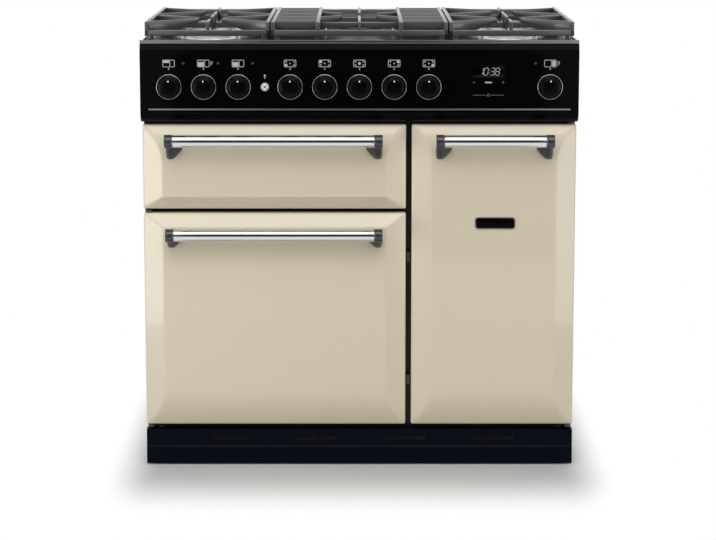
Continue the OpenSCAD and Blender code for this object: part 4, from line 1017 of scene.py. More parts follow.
@dataclass
class Fascia:
    """Black control panel with its chrome line and the steel edge above it."""

    band_h: float = 20 * MM
    band_d: float = 6 * MM
    lip_r: float = 24 * MM

    def build(self) -> None:
        """Extrudes the panel from its section and adds the trim."""
        low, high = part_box("control_panel")
        section = [(high.y, low.z), (low.y, low.z), (low.y, high.z - self.band_h),
                   (low.y + self.band_d, high.z), (high.y, high.z)]
        part = bmesh.new()
        part.faces.new([part.verts.new((low.x, y, z)) for y, z in section])
        grow(part, Vector((high.x - low.x, 0.0, 0.0)))
        for corner, radius, segments in ((section[1], self.lip_r, 14), (section[2], 3 * MM, 3),
                                         (section[3], 1.5 * MM, 3)):
            lengthwise = [edge for edge in part.edges if self._runs_along(edge, corner)]
            round_edges(part, lengthwise, radius, segments, clamp=False)
        ends = [edge for edge in part.edges if abs(edge.verts[0].co.x - edge.verts[1].co.x) < MM
                and not all(vert.co.y > high.y - MM for vert in edge.verts)]
        round_edges(part, ends, 1.2 * MM, 3)
        panel = Piece("fascia")
        panel.join(part)
        panel.finish("root", GLOSS_BLACK, ["control_panel"])
        self._trim(low, high)

    @staticmethod
    def _runs_along(edge: BMEdge, corner: tuple[float, float]) -> bool:
        """Returns whether an edge runs across the cooker through a corner of the section."""
        return all(abs(v.co.y - corner[0]) + abs(v.co.z - corner[1]) < 0.1 * MM for v in edge.verts)

    def _trim(self, low: Vector, high: Vector) -> None:
        """Adds the chrome line and the brushed edge strip.

        Args:
            low: Lowest corner of the panel.
            high: Highest corner of the panel.
        """
        inset, rise, line_h, line_t = 17 * MM, 26 * MM, 3.5 * MM, 1.2 * MM
        line = Piece("chrome_line")
        line.block((low.x + inset, low.y - line_t, low.z + rise),
                   (high.x - inset, low.y + 0.3 * MM, low.z + rise + line_h), 0.5 * MM)
        line.finish("root", STEEL, ["panel_trim"])
        trim_low, trim_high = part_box("panel_trim")
        strip = Piece("edge_strip")
        strip.block((trim_low.x, low.y + self.band_d, high.z + 0.2 * MM),
                    (trim_high.x, low.y + self.band_d + 1.8 * MM, trim_high.z), 0.5 * MM)
        strip.finish("root", STEEL)


class Icon(Enum):
    """Which part of the cooker a knob's sign points out."""

    GRILL = "grill"
    LEFT_OVEN = "left oven"
    RIGHT_OVEN = "right oven"
    BURNER = "burner"


@dataclass
class Control:
    """A knob with its bezel's place and its sign."""

    node: str
    icon: Icon
    burner: int = 0


@dataclass
class Controls:
    """Knobs, their chrome rings, the light button, the lamps and the signs above them."""

    knobs: tuple[Control, ...] = (
        Control("grill_knob", Icon.GRILL), Control("oven_function_knob", Icon.LEFT_OVEN),
        Control("left_oven_knob", Icon.LEFT_OVEN), Control("gas_knob_1", Icon.BURNER, 0),
        Control("gas_knob_2", Icon.BURNER, 1), Control("gas_knob_3", Icon.BURNER, 2),
        Control("gas_knob_4", Icon.BURNER, 3), Control("gas_knob_5", Icon.BURNER, 4),
        Control("right_oven_knob", Icon.RIGHT_OVEN))
    bezel_r: float = 26.5 * MM
    bezel_inner_r: float = 23.5 * MM
    bezel_h: float = 4 * MM
    icon_rise: float = 48 * MM
    icon_w: float = 25 * MM
    icon_h: float = 15 * MM
    line: float = 1.2 * MM
    lamp_aside: float = 30 * MM

    def build(self) -> None:
        """Makes the knobs and all that stands round them on the panel."""
        panel_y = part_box("control_panel")[0].y
        bezels, signs = Piece("chrome_bezels"), Piece("panel_signs")
        bezel = self._bezel_profile(self.bezel_r, self.bezel_inner_r, self.bezel_h)
        for control in self.knobs:
            centre = box_centre(control.node)
            centre.y = panel_y
            bezels.lathe(bezel, centre, Axis.FORWARD, 64)
            self._knob(control, centre, panel_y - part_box(control.node)[0].y)
            self._sign(signs, control, centre)
        self._button(bezels, signs, panel_y)
        bezels.finish("root", RING_CHROME, ["knob_bezels"])
        signs.finish("root", PRINT)
        self._lamps(panel_y)

    @staticmethod
    def _bezel_profile(outer: float, inner: float, height: float) -> list[tuple[float, float]]:
        """Gives the closed section of a chrome ring.

        Args:
            outer: Outer radius.
            inner: Inner radius.
            height: Height above the panel.

        Returns:
            Points as radius and distance.
        """
        wall = outer - inner
        return [(inner, 0.0), (inner, height * 0.8), (inner + wall * 0.2, height * 0.96),
                (inner + wall * 0.42, height), (inner + wall * 0.66, height * 0.93),
                (inner + wall * 0.88, height * 0.7), (outer, height * 0.35), (outer, 0.0), (inner, 0.0)]

    def _knob(self, control: Control, centre: Vector, proud: float) -> None:
        """Turns one knob with a flared skirt, a tapered cap and a white dot.

        Args:
            control: The knob.
            centre: Middle of the knob on the panel's face.
            proud: How far its dot stands in front of the panel.
        """
        front = proud / MM - 0.6
        skirt_r, cap_r = 23.0, 20.0
        profile = in_metres([
            (0, 0.6), (skirt_r - 0.6, 0.6), (skirt_r, 1.2), (skirt_r, 3.8), (skirt_r - 0.6, 4.9),
            (cap_r + 1, 5.4), (cap_r + 0.2, 5.9), (cap_r, 6.9), (cap_r - 0.9, front - 3.2),
            (cap_r - 1.5, front - 1.5), (cap_r - 2.7, front - 0.5), (cap_r - 4.4, front), (0, front)])
        knob = Piece(control.node + "_turned")
        knob.lathe(profile, centre, Axis.FORWARD, 64)
        knob.finish(control.node, KNOB_BLACK, [control.node])
        dot = Piece(control.node + "_dot")
        dot.lathe(rounded_profile(1.7 * MM, 1.0 * MM, 0.3 * MM),
                  centre + Vector((0.0, 0.5 - front, 13.0)) * MM, Axis.FORWARD, 20)
        dot.finish(control.node, WHITE_PLASTIC)

    def _sign(self, signs: Piece, control: Control, centre: Vector) -> None:
        """Prints the sign over a knob: a frame, what it points out, and a small pointer.

        Args:
            signs: Piece that takes the sign.
            control: The knob.
            centre: Middle of the knob on the panel's face.
        """
        x, y, z = centre.x, centre.y, centre.z + self.icon_rise
        half_w, half_h = self.icon_w / 2, self.icon_h / 2
        for side in (-1, 1):
            signs.ink(x + side * (half_w - self.line / 2), z, self.line, self.icon_h, y)
            signs.ink(x, z + side * (half_h - self.line / 2), self.icon_w, self.line, y)
        if control.icon is Icon.BURNER:
            spots = ((-8, -3.4), (-8, 3.4), (0, 0), (8, 3.4), (8, -3.4))
            for index, (across, up) in enumerate(spots):
                radius = 2.9 * MM if index == control.burner else 1.5 * MM
                signs.ink_disc(x + across * MM, z + up * MM, radius, y)
        else:
            signs.ink(x + 2.5 * MM, z, self.line, self.icon_h, y)
            fills = {Icon.GRILL: (-4.8, 3.6, 12, 5), Icon.LEFT_OVEN: (-4.8, -1.6, 12, 9),
                     Icon.RIGHT_OVEN: (7.2, 0, 6.5, 11)}
            across, up, width, height = (value * MM for value in fills[control.icon])
            signs.ink(x + across, z + up, width, height, y)
        if control.node in ("oven_function_knob", "right_oven_knob"):
            for index in range(2):
                signs.ink(x + half_w + (3.2 + 2.6 * index) * MM, z + index * 1.5 * MM,
                          1.1 * MM, (9 - 3 * index) * MM, y)
        tip = Matrix.Translation((x, y + INK, z - half_h - 4.2 * MM)) @ Axis.FORWARD.turn()
        signs.prism(in_metres([(-1.8, 1.6), (0, -1.8), (1.8, 1.6)]), 2 * INK, 0.0, tip)

    def _button(self, bezels: Piece, signs: Piece, panel_y: float) -> None:
        """Makes the oven light button with its ring and the small sign above it.

        Args:
            bezels: Piece that takes the ring.
            signs: Piece that takes the sign.
            panel_y: Face of the panel.
        """
        centre = box_centre("light_button")
        centre.y = panel_y
        radius, proud = 7.0, (panel_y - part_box("light_button")[0].y) / MM
        bezels.lathe(self._bezel_profile(9.5 * MM, 7.5 * MM, 2.5 * MM), centre, Axis.FORWARD)
        button = Piece("light_button_cap")
        button.lathe(in_metres([(0, -4), (radius, -4), (radius, proud - 1.2), (radius - 0.5, proud - 0.5),
                                (radius - 1.6, proud - 0.15), (0, proud - 0.1)]), centre, Axis.FORWARD)
        button.finish("light_button", WHITE_PLASTIC, ["light_button"])
        cross = Piece("light_button_cross")
        face = Matrix.Translation(centre - Vector((0.0, proud * MM, 0.0)))
        for angle in (45, -45):
            cross.block((-4.8 * MM, 0.0, -0.8 * MM), (4.8 * MM, 0.3 * MM, 0.8 * MM), 0.1 * MM,
                        face @ Matrix.Rotation(math.radians(angle), 4, "Y"))
        cross.finish("light_button", KNOB_BLACK)
        signs.ink_disc(centre.x, centre.z + 23 * MM, 2.2 * MM, panel_y)
        signs.ink(centre.x, centre.z + 18.5 * MM, 1.8 * MM, 3.4 * MM, panel_y)

    def _lamps(self, panel_y: float) -> None:
        """Makes the four small red lamps between the signs.

        Args:
            panel_y: Face of the panel.
        """
        lamps = Piece("neon_lamps")
        profile = in_metres([(0, -2), (2.5, -2), (2.5, 0.3), (2, 0.8), (1.1, 0.97), (0, 1)])
        for control, side in zip((*self.knobs[:3], self.knobs[-1]), (1, 1, 1, -1)):
            knob = box_centre(control.node)
            lamps.lathe(profile, (knob.x + side * self.lamp_aside, panel_y, knob.z + self.icon_rise),
                        Axis.FORWARD, 24)
        lamps.finish("root", RED_LENS, ["panel_lights"])


@dataclass
class Clock:
    """Clock window with slanted digits, and the touch marks below it."""

    width: float = 65 * MM
    height: float = 25 * MM
    digit_w: float = 7.6 * MM
    digit_h: float = 14.5 * MM
    stroke: float = 1.5 * MM
    slant: float = 0.16
    shown: str = "10:38"
    segments: dict[str, str] = field(default_factory=lambda: {
        "0": "abcdef", "1": "bc", "3": "abcdg", "8": "abcdefg"})

    def build(self) -> None:
        """Makes the window, the digits and the marks."""
        panel_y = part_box("control_panel")[0].y
        clock_x = (box_centre("gas_knob_5").x + box_centre("right_oven_knob").x) / 2 - 2 * MM
        clock_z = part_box("panel_lights")[0].z + self.height / 2
        window = Piece("clock_window")
        window.plate((clock_x, panel_y + 1 * MM, clock_z), self.width, self.height, 1.35 * MM, 2 * MM,
                     0.3 * MM)
        window.finish("root", CLOCK_GLASS)
        digits = Piece("clock_digits")
        pitch = self.digit_w + 2.4 * MM
        cursor = clock_x - 15 * MM
        for sign in self.shown:
            if sign == ":":
                for up in (-0.22, 0.22):
                    self._stroke(digits, cursor - 3.2 * MM, up * self.digit_h, self.stroke, self.stroke,
                                 clock_z, panel_y)
                cursor += 3.4 * MM
                continue
            self._digit(digits, sign, cursor, clock_z, panel_y)
            cursor += pitch
        digits.finish("root", DIGIT_GLOW)
        self._marks(clock_x, panel_y)

    def _digit(self, digits: Piece, sign: str, x: float, z: float, y: float) -> None:
        """Lights the strokes of one digit.

        Args:
            digits: Piece that takes them.
            sign: The digit.
            x: Its middle.
            z: Height of its middle.
            y: Face of the panel.
        """
        half_w, half_h = self.digit_w / 2, self.digit_h / 2
        spots = {"a": (0, half_h), "g": (0, 0), "d": (0, -half_h), "b": (half_w, half_h / 2),
                 "c": (half_w, -half_h / 2), "e": (-half_w, -half_h / 2), "f": (-half_w, half_h / 2)}
        for name in self.segments[sign]:
            across, up = spots[name]
            flat = name in "agd"
            width = self.digit_w - 2 * MM if flat else self.stroke
            height = self.stroke if flat else half_h - 1.4 * MM
            self._stroke(digits, x + across, up, width, height, z, y)

    def _stroke(self, digits: Piece, x: float, up: float, width: float, height: float, z: float,
                y: float) -> None:
        """Adds one slanted stroke on the window.

        Args:
            digits: Piece that takes it.
            x: Its middle, before the slant.
            up: Height above the middle of the digits.
            width: Width.
            height: Height.
            z: Height of the middle of the digits.
            y: Face of the panel.
        """
        lean = Matrix.Identity(4)
        lean[0][2] = self.slant
        turn = Matrix.Translation((x, y - 0.36 * MM, z)) @ lean
        digits.block((-width / 2, -0.04 * MM, up - height / 2), (width / 2, 0.04 * MM, up + height / 2),
                     0.0, turn)

    @staticmethod
    def _marks(clock_x: float, y: float) -> None:
        """Prints a minus, a bar, a plus and a thin line with a ring below the window.

        Args:
            clock_x: Middle of the window.
            y: Face of the panel.
        """
        touch_z, line_z = 809 * MM, 783 * MM
        bright = Piece("clock_bar")
        bright.ink(clock_x, touch_z, 14 * MM, 2.8 * MM, y)
        bright.finish("root", PRINT)
        faint = Piece("clock_touch_marks")
        for side in (-1, 1):
            faint.ink(clock_x + side * 30 * MM, touch_z, 4.8 * MM, 1.2 * MM, y)
            faint.ink(clock_x + side * 18.5 * MM, line_z, 27 * MM, 0.8 * MM, y)
        faint.ink(clock_x + 30 * MM, touch_z, 1.2 * MM, 4.8 * MM, y)
        ring = [(2 * MM, 0.0), (3 * MM, 0.0), (3 * MM, 2 * INK), (2 * MM, 2 * INK), (2 * MM, 0.0)]
        faint.lathe(ring, (clock_x, y + INK, line_z), Axis.FORWARD, 24)
        faint.finish("root", FAINT_PRINT)


# Hob


@dataclass
class BurnerPlace:
    """Where a burner stands and how large it is."""

    x: float
    y: float
    base_r: float
    well_r: float


@dataclass
class Hob:
    """Hotplate, five burners and three pan supports."""

    corner_base_r: float = 56 * MM
    centre_base_r: float = 68 * MM
    corner_well_r: float = 78 * MM
    centre_well_r: float = 96 * MM
    well_depth: float = 5 * MM
    well_soft: float = 12 * MM
    lip_w: float = 5 * MM
    lip_h: float = 3 * MM
    step: float = 6 * MM

    def build(self) -> None:
        """Makes the hob from the plate up."""
        places = self._places()
        self._plate(places)
        self._burners(places)
        PairSupport("left_pan_support").build()
        PairSupport("right_pan_support").build()
        CentreSupport("centre_pan_support").build()

    def _places(self) -> list[BurnerPlace]:
        """Works the burners' places out from the pan supports.

        Returns:
            The five burners.
        """
        places = []
        for node in ("left_pan_support", "right_pan_support"):
            low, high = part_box(node)
            middle = (low + high) / 2
            for row in (-1, 1):
                places.append(BurnerPlace(middle.x, middle.y + row * (high.y - low.y) / 4,
                                          self.corner_base_r, self.corner_well_r))
        middle = box_centre("centre_pan_support")
        return places + [BurnerPlace(middle.x, middle.y, self.centre_base_r, self.centre_well_r)]

    def _plate(self, places: Sequence[BurnerPlace]) -> None:
        """Presses the hotplate: a raised lip round it and a soft well under each burner.

        Args:
            places: The burners.
        """
        low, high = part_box("hotplate")
        field_z = high.z - self.lip_h

        def press(x: float, y: float) -> Vector:
            """Gives the point of the plate at a place."""
            return Vector((x, y, field_z + self._height(x, y, low, high, places)))

        part = pressed_sheet(self._lines(low.x, high.x), self._lines(low.y, high.y), press)
        rim = [edge for edge in part.edges if edge.is_boundary]
        for vert in made_verts(bmesh.ops.extrude_edge_only(part, edges=rim)):
            vert.co.z = field_z - 2 * MM
        face_towards(part, (0.0, 0.0, 1.0))
        Piece("enamelled_hotplate", part).finish("root", HOB_BLACK, ["hotplate"], crease=60.0)

    def _lines(self, start: float, end: float) -> list[float]:
        """Spreads grid lines over the plate, closer at the lip.

        Args:
            start: First edge.
            end: Last edge.

        Returns:
            Places of the lines.
        """
        edge = [0.0, 0.7 * MM, 1.6 * MM, self.lip_w - 1 * MM, self.lip_w, self.lip_w + 1 * MM]
        run = end - start - 2 * edge[-1]
        count = math.ceil(run / self.step)
        middle = [start + edge[-1] + run * i / count for i in range(1, count)]
        return [start + e for e in edge] + middle + [end - e for e in reversed(edge)]

    def _height(self, x: float, y: float, low: Vector, high: Vector,
                places: Sequence[BurnerPlace]) -> float:
        """Gives the plate's height over its field.

        Args:
            x: Place across.
            y: Place in depth.
            low: Lowest corner of the plate.
            high: Highest corner of the plate.
            places: The burners.

        Returns:
            Height, below 0 in a well.
        """
        edge = min(x - low.x, high.x - x, y - low.y, high.y - y)
        if edge < self.lip_w + 1 * MM:
            fall = min(max((edge - self.lip_w + 1 * MM) / (2 * MM), 0.0), 1.0)
            crown = 0.6 * MM * max(1 - edge / (0.9 * MM), 0.0)
            return self.lip_h * (1 - ease(fall)) - crown
        for place in places:
            inside = place.well_r - math.hypot(x - place.x, y - place.y)
            if inside > 0:
                return -self.well_depth * ease(min(inside / self.well_soft, 1.0))
        return 0.0

    def _burners(self, places: Sequence[BurnerPlace]) -> None:
        """Makes the alloy burners, their caps and the electrodes beside them.

        Args:
            places: The burners.
        """
        well_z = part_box("hotplate")[1].z - self.lip_h - self.well_depth
        bodies, caps = Piece("alloy_burners"), Piece("enamelled_caps")
        ceramic, tips = Piece("electrode_bodies"), Piece("electrode_tips")
        ceramic_profile = in_metres([(0, 0), (3, 0), (3, 3), (2.5, 4), (2.5, 13), (2, 15.4), (1.2, 16),
                                     (0, 16)])
        tip_profile = rounded_profile(1 * MM, 4 * MM, 0.4 * MM)
        for place in places:
            centre = Vector((place.x, place.y, well_z + 0.2 * MM))
            self._body(bodies, centre, place.base_r)
            self._cap(caps, centre + Vector((0, 0, 16.2 * MM)), place.base_r)
            for side in (-1, 1):
                spot = centre + Vector((side * (place.base_r + 4 * MM), 0, 0))
                ceramic.lathe(ceramic_profile, spot, Axis.UP, 20)
                tips.lathe(tip_profile, spot + Vector((0, 0, 15 * MM)), Axis.UP, 12)
        bodies.finish("root", ALLOY, ["burner_bodies"], crease=30.0)
        caps.finish("root", CAP_ENAMEL, ["burner_caps"])
        ceramic.finish("root", CERAMIC, ["spark_electrodes"])
        tips.finish("root", ZINC)

    def _body(self, piece: Piece, centre: Vector, base_r: float) -> None:
        """Turns a burner and cuts the flame slots into its crown.

        Args:
            piece: Piece that takes it.
            centre: Middle of its foot.
            base_r: Radius of its foot.
        """
        base, top = base_r / MM, 16.0
        crown = base - 13
        piece.lathe(in_metres([(0, 0), (base - 0.5, 0), (base, 0.8), (base - 2.4, 4.4), (base - 4, 5),
                               (crown + 3, 5.4), (crown - 1, 6.6), (crown - 1, 9.8), (0, 9.8)]),
                    centre, Axis.UP, 72)
        part = spun(in_metres([(crown - 7, 9.6), (crown - 0.6, 9.6), (crown, 10.2), (crown, top - 0.8),
                               (crown - 0.8, top), (crown - 7, top), (crown - 7, 9.6)]), 96)
        bmesh.ops.recalc_face_normals(part, faces=part.faces)
        outer = [f for f in part.faces if f.calc_center_median().xy.length > (crown - 0.3) * MM]
        outer.sort(key=lambda f: math.atan2(f.calc_center_median().y, f.calc_center_median().x))
        tall = [f for f in outer if abs(f.calc_center_median().z / MM - (top + 9.4) / 2) < 1]
        bmesh.ops.inset_individual(part, faces=tall[::2], thickness=0.35 * MM, depth=-2.2 * MM)
        piece.join(part, Matrix.Translation(centre))

    @staticmethod
    def _cap(piece: Piece, centre: Vector, base_r: float) -> None:
        """Turns a burner's cap with a softly raised top.

        Args:
            piece: Piece that takes it.
            centre: Middle of its underside.
            base_r: Radius of the burner's foot.
        """
        rim = base_r / MM - 10
        piece.lathe(in_metres([(0, 0), (rim - 0.8, 0), (rim, 0.8), (rim - 0.5, 3), (rim - 1.6, 4.6),
                               (rim - 3.6, 5.5), (rim - 8, 5.9), (0, 6)]), centre, Axis.UP, 72)


@dataclass
class PanSupport:
    """Cast iron pan support: what all three have in common."""

    node: str
    bar: float = 8 * MM
    low_bar_rise: float = 11 * MM
    low_bar_h: float = 12 * MM
    fin_t: float = 5.6 * MM
    edge: float = 1.1 * MM
    fin_tip: float = 9 * MM
    foot_in: float = 12 * MM

    def __post_init__(self) -> None:
        """Reads the support's box."""
        self.low, self.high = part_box(self.node)
        self.middle = (self.low + self.high) / 2
        self.width = self.high.x - self.low.x
        self.depth = self.high.y - self.low.y
        self.low_bar_z = self.low.z - 0.2 * MM + self.low_bar_rise
        self.piece = Piece(self.node + "_cast")

    def build(self) -> None:
        """Casts the frame and what is inside it."""
        self._frame()
        self._inside()
        self.piece.finish(self.node, CAST_IRON, [self.node])

    def _inside(self) -> None:
        """Adds the bars and fins that differ between the supports."""
        raise NotImplementedError

    def _frame(self) -> None:
        """Adds the tall side bars, the low front and rear bars and four feet."""
        top = self.low_bar_z + self.low_bar_h
        for side in (-1, 1):
            x = self.middle.x + side * (self.width - self.bar) / 2
            y = self.middle.y + side * (self.depth - self.bar) / 2
            self._box(x, self.middle.y, self.bar, self.depth, self.low_bar_z, self.high.z)
            self._box(self.middle.x, y, self.width, self.bar, self.low_bar_z, top)
            for end in (-1, 1):
                self._foot(self.middle.x + side * (self.width / 2 - self.foot_in), end, 6 * MM,
                           top - 2 * MM, 28)

    def _foot(self, x: float, end: int, radius: float, top: float, steps: int) -> None:
        """Adds a foot near the front or the rear.

        Args:
            x: Middle across.
            end: -1 for the front, 1 for the rear.
            radius: Its radius.
            top: Level of its upper end.
            steps: Number of faces round it.
        """
        spot = (x, self.middle.y + end * (self.depth / 2 - self.foot_in), self.low.z)
        self.piece.lathe(rounded_profile(radius, top - self.low.z, 0.8 * MM), spot, Axis.UP, steps)

    def _box(self, x: float, y: float, width: float, depth: float, bottom: float, top: float) -> None:
        """Adds a bar given by its middle, its size and its levels.

        Args:
            x: Middle across.
            y: Middle in depth.
            width: Width.
            depth: Depth.
            bottom: Lower level.
            top: Upper level.
        """
        self.piece.block((x - width / 2, y - depth / 2, bottom), (x + width / 2, y + depth / 2, top),
                         self.edge)

    def _fin(self, outer: tuple[float, float], inner: tuple[float, float], outer_h: float,
             inner_h: float) -> None:
        """Adds a fin that gets shallower towards the burner.

        Args:
            outer: Outer point, from the middle of the support.
            inner: Inner point, from the middle of the support.
            outer_h: Height at the outer point.
            inner_h: Height at the inner point.
        """
        run = Vector(inner) - Vector(outer)
        length = run.length
        outline = [(0.0, 0.0), (length, 0.0), (length, -inner_h), (length - 4 * MM, -inner_h),
                   (length * 0.35, -outer_h), (0.0, -outer_h)]
        spot = Vector((self.middle.x + outer[0], self.middle.y + outer[1], self.high.z))
        turn = (Matrix.Translation(spot) @ Matrix.Rotation(math.atan2(run.y, run.x), 4, "Z")
                @ Matrix.Translation((0.0, self.fin_t / 2, 0.0)) @ Axis.FORWARD.turn())
        self.piece.prism(outline, self.fin_t, self.edge, turn)


@dataclass
class PairSupport(PanSupport):
    """Support over two burners, with six fins round each."""

    corner_h: float = 26 * MM
    fin_h: float = 24 * MM
    fin_end: float = 34 * MM
    boss_r: float = 5.5 * MM

    def _inside(self) -> None:
        """Adds the low middle bar with its boss, and the fins."""
        half = self.width / 2 - self.bar / 2
        row_y = self.depth / 4
        self._box(self.middle.x, self.middle.y, 2 * half, self.bar, self.low_bar_z,
                  self.low_bar_z + self.low_bar_h)
        self.piece.lathe(rounded_profile(self.boss_r, self.high.z - self.low_bar_z - 1 * MM, self.edge),
                         (self.middle.x, self.middle.y, self.low_bar_z + 1 * MM), Axis.UP, 28)
        for row in (-1, 1):
            y = row * row_y
            for across in (-1, 1):
                for along in (-1, 1):
                    outer = (across * half, y + along * (row_y - self.bar / 2) * 0.86)
                    inner = (across * self.fin_end * 0.75, y + along * self.fin_end * 0.66)
                    self._fin(outer, inner, self.corner_h, self.fin_tip)
            self._fin((0.0, 0.0), (0.0, y - row * self.fin_end), self.fin_h, self.fin_tip + 1 * MM)
            self._fin((0.0, row * (self.depth / 2 - self.bar / 2)), (0.0, y + row * self.fin_end),
                      self.fin_h, self.fin_tip)


@dataclass
class CentreSupport(PanSupport):
    """Support over the centre burner, with slats on both sides of a ring of bars."""

    ring: float = 86 * MM
    slat_h: float = 16 * MM
    slat_t: float = 6 * MM
    slats: int = 5
    cross_drop: float = 11.6 * MM
    ring_fin_h: float = 22 * MM

    def _inside(self) -> None:
        """Adds the ring, the slats, the fins and two more pairs of feet."""
        half = self.width / 2 - self.bar / 2
        pitch = (self.depth - 2 * self.bar) / (2 * self.slats)
        bottom, top = self.high.z - self.slat_h, self.high.z
        near, tip = self.ring - 1 * MM, 38 * MM
        for side in (-1, 1):
            x, y = self.middle.x + side * self.ring, self.middle.y + side * self.ring
            self._box(x, self.middle.y, self.bar, self.depth, bottom, top)
            self._box(self.middle.x, y, 2 * self.ring, self.bar, top - self.cross_drop - self.low_bar_h,
                      top - self.cross_drop)
            for index in range(2 * self.slats):
                self._box(self.middle.x + side * (self.ring + half) / 2,
                          self.middle.y + (index - self.slats + 0.5) * pitch,
                          half - self.ring, self.slat_t, bottom, top)
            for along in (-1, 1):
                self._fin((side * near, along * near), (side * tip, along * tip), self.ring_fin_h, 8 * MM)
                self._foot(x, along, self.bar / 2 + 1.5 * MM, top - 4 * MM, 24)
            self._fin((0.0, side * (self.depth / 2 - self.bar / 2)), (0.0, side * 46 * MM), 24 * MM,
                      self.fin_tip)


# Casing


@dataclass
class Casing:
    """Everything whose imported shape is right, and the screws that hold the panels."""

    screw_r: float = 4 * MM
    screw_h: float = 2 * MM
    screw_pitch: float = 150 * MM

    def build(self) -> None:
        """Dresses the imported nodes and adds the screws."""
        dress(SATIN_BLACK, "side_panels", "front_frame")
        dress(VENT_GREY, "rear_vent")
        dress(NAVY_PLINTH, "plinth")
        dress(ZINC, "back_panel", "base_chassis", "levelling_feet", "fan_motors",
              "drawer_outer_runners", "drawer_middle_runners", "drawer_carriage", "left_fan", "right_fan")
        dress(DARK_STEEL, "door_hardware")
        dress(BRASS, "gas_rail")
        dress(SWITCH_PLASTIC, "oven_switches")
        dress(BOX_PLASTIC, "terminal_box")
        dress(OVEN_ENAMEL, "left_oven_liner", "right_oven_liner", "grill_chamber", "fan_covers",
              "left_door_inner", "right_door_inner", "grill_pan")
        dress(WIRE_CHROME, "shelf_ladders", "oven_shelves", "grill_rack")
        dress(WOOL, "insulation")
        dress(ELEMENT, "heating_elements")
        dress(SEAL_ROPE, "door_seals")
        self._screws()

    def _screws(self) -> None:
        """Adds a row of dome screws down both sides and along the top of the back panel."""
        low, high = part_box("back_panel")
        edge = 9 * MM
        screws = Piece("back_panel_screws")
        rows = math.floor((high.z - low.z - 2 * edge) / self.screw_pitch)
        columns = math.floor((high.x - low.x - 2 * edge) / self.screw_pitch)
        spots = [(x, low.z + edge + (high.z - low.z - 2 * edge) * i / rows)
                 for x in (low.x + edge, high.x - edge) for i in range(rows + 1)]
        spots += [(low.x + edge + (high.x - low.x - 2 * edge) * i / columns, high.z - edge)
                  for i in range(1, columns)]
        profile = [(0, 0), (self.screw_r, 0), (self.screw_r, 0.4 * MM), (self.screw_r * 0.8, 1.4 * MM),
                   (self.screw_r * 0.45, self.screw_h), (self.screw_r * 0.4, 1.2 * MM), (0, 1.2 * MM)]
        for x, z in spots:
            screws.lathe(profile, (x, high.y, z), Axis.BACK, 20)
        screws.finish("root", STEEL)


# Picture


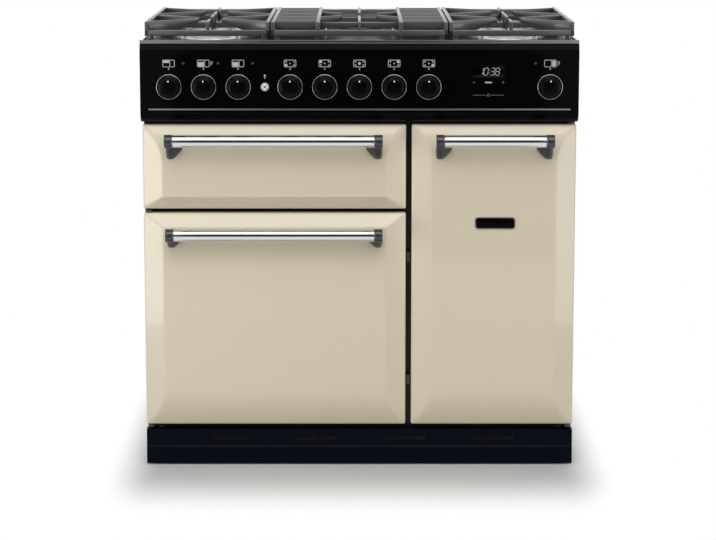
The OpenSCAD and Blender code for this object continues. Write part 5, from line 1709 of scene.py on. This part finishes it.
@dataclass
class Studio:
    """Camera, lamps, pale floor and the dark card that gives the metal its contrast."""

    camera_spot: tuple[float, float, float] = (-0.003, -5.276, 1.267)
    pitch: float = 9.62
    lens: float = 122.9
    aim: tuple[float, float, float] = (0.0, 0.0, 0.5)
    ambient: float = 0.12
    key_power: float = 140.0
    top_power: float = 56.0
    back_power: float = 40.0
    left_power: float = 8.5
    right_power: float = 5.0
    floor_colour: tuple[float, float, float, float] = (0.55, 0.55, 0.55, 1.0)
    card_colour: tuple[float, float, float, float] = (0.05, 0.052, 0.055, 1.0)
    # Box round the footprint inside which the floor stays lit grey, and how fast this painted shade fades to
    # white outside it.
    shadow_core: tuple[float, float, float] = (0.42, 0.33, 0.0)
    shadow_rate: tuple[float, float, float] = (9.0, 3.0, 0.0)

    def build(self) -> None:
        """Sets the scene up."""
        self._camera()
        self._world()
        self._lamp("key_lamp", (-0.4, -4.4, 2.9), (4.8, 4.0), self.key_power, False)
        self._lamp("top_lamp", (0.0, -2.5, 3.5), (3.6, 2.2), self.top_power)
        self._lamp("back_lamp", (0.0, 1.3, 3.4), (2.8, 1.4), self.back_power)
        for side, power in ((-1, self.left_power), (1, self.right_power)):
            self._lamp("side_lamp", (side * 1.75, -1.1, 0.55), (0.7, 1.1), power)
        self._floor()
        self._card()
        bpy.context.scene.view_settings.view_transform = "Standard"

    def _camera(self) -> None:
        """Places the camera at the photograph's viewing angle."""
        data = bpy.data.cameras.new("view")
        data.lens = self.lens
        data.sensor_width = 36.0
        camera = link_object("view", data)
        camera.location = self.camera_spot
        camera.rotation_euler = (math.radians(90 - self.pitch), 0.0, 0.0)
        bpy.context.scene.camera = camera

    def _world(self) -> None:
        """Makes a world that is white where it is seen and softer where it lights."""
        world = bpy.data.worlds.new("studio")
        tree = NodeTree(world)
        lit = tree.add("Background", Color=WHITE, Strength=self.ambient)
        seen = tree.add("Background", Color=WHITE)
        tree.show("OUTPUT_WORLD", tree.seen_ray(), lit, seen)
        bpy.context.scene.world = world

    def _lamp(self, name: str, spot: tuple[float, float, float], size: tuple[float, float],
              power: float, mirrored: bool = True) -> None:
        """Adds a soft rectangular lamp that faces the cooker.

        Args:
            name: Its name.
            spot: Its place.
            size: Width and height.
            power: Power in watts.
            mirrored: Whether reflections show it.
        """
        data = bpy.data.lights.new(name, "AREA")
        data.shape = "RECTANGLE"
        data.size, data.size_y = size
        data.energy = power
        lamp = link_object(name, data)
        lamp.location = spot
        lamp.visible_camera = False
        lamp.visible_glossy = mirrored
        lamp.rotation_euler = (Vector(self.aim) - Vector(spot)).to_track_quat("-Z", "Y").to_euler()

    def _floor(self) -> None:
        """Lays a floor that keeps the cooker's real shadow near it and turns white away from it. Near the
        cooker the floor stays lit grey and fades to plain white with distance from the footprint, which
        paints a shade round the cooker on top of the real shadow.
        """
        part = bmesh.new()
        bmesh.ops.create_grid(part, x_segments=8, y_segments=8, size=9.0)
        floor = Piece("studio_floor", part).to_object()
        material = bpy.data.materials.new("pale_floor")
        tree = NodeTree(material)
        shader = tree.find("BSDF_PRINCIPLED")
        tree.feed(shader.inputs["Base Color"], self.floor_colour)
        tree.feed(shader.inputs["Roughness"], 0.9)
        place = tree.add("TexCoord").outputs["Object"]
        # Distance from the footprint box: the mask of the painted shade round the cooker.
        steps = (("ABSOLUTE", None), ("SUBTRACT", self.shadow_core), ("MAXIMUM", (0.0, 0.0, 0.0)),
                 ("MULTIPLY", self.shadow_rate), ("LENGTH", None))
        for operation, operand in steps:
            step = tree.add("VectorMath")
            step.operation = operation
            tree.feed(step.inputs[0], place)
            if operand is not None:
                tree.feed(step.inputs[1], operand)
            place = step.outputs["Value" if operation == "LENGTH" else "Vector"]
        away = tree.add("MapRange", Value=place)
        away.interpolation_type = "SMOOTHSTEP"
        share = tree.work_out("MULTIPLY", tree.seen_ray(), away.outputs["Result"])
        tree.show("OUTPUT_MATERIAL", share, shader, tree.add("Emission", Color=WHITE))
        floor.data.materials.append(material)

    def _card(self) -> None:
        """Hangs a dark card that only reflections see."""
        material = bpy.data.materials.new("dark_card")
        tree = NodeTree(material)
        dark = tree.add("Emission", Color=self.card_colour)
        tree.feed(tree.find("OUTPUT_MATERIAL").inputs["Surface"], dark.outputs[0])
        card = Piece("dark_card")
        card.block((-1.0, -2.34, 0.1), (1.0, -2.3, 2.1), 0.01)
        piece = card.to_object()
        piece.data.materials.append(material)
        for ray in ("camera", "diffuse", "transmission", "shadow", "volume_scatter"):
            setattr(piece, "visible_" + ray, False)


def main() -> None:
    """Builds the cooker's pieces in order, then the studio."""
    logging.basicConfig(level=logging.INFO, format="%(name)s: %(message)s")
    Casing().build()
    for door in (DoorFront("left_door_skin", "left_door", End.ROLLED, End.SHARP),
                 DoorFront("right_door_skin", "right_door", End.ROLLED, End.ROLLED),
                 DoorFront("drawer_front", "grill_drawer", End.SHARP, End.ROLLED)):
        door.build()
    for handle in (Handle("left", "left_door", 18 * MM), Handle("right", "right_door", 28 * MM),
                   Handle("drawer", "grill_drawer", 28 * MM)):
        handle.build()
    Badge().build()
    Fascia().build()
    Controls().build()
    Clock().build()
    Hob().build()
    Studio().build()


if __name__ == "__main__":
    main()
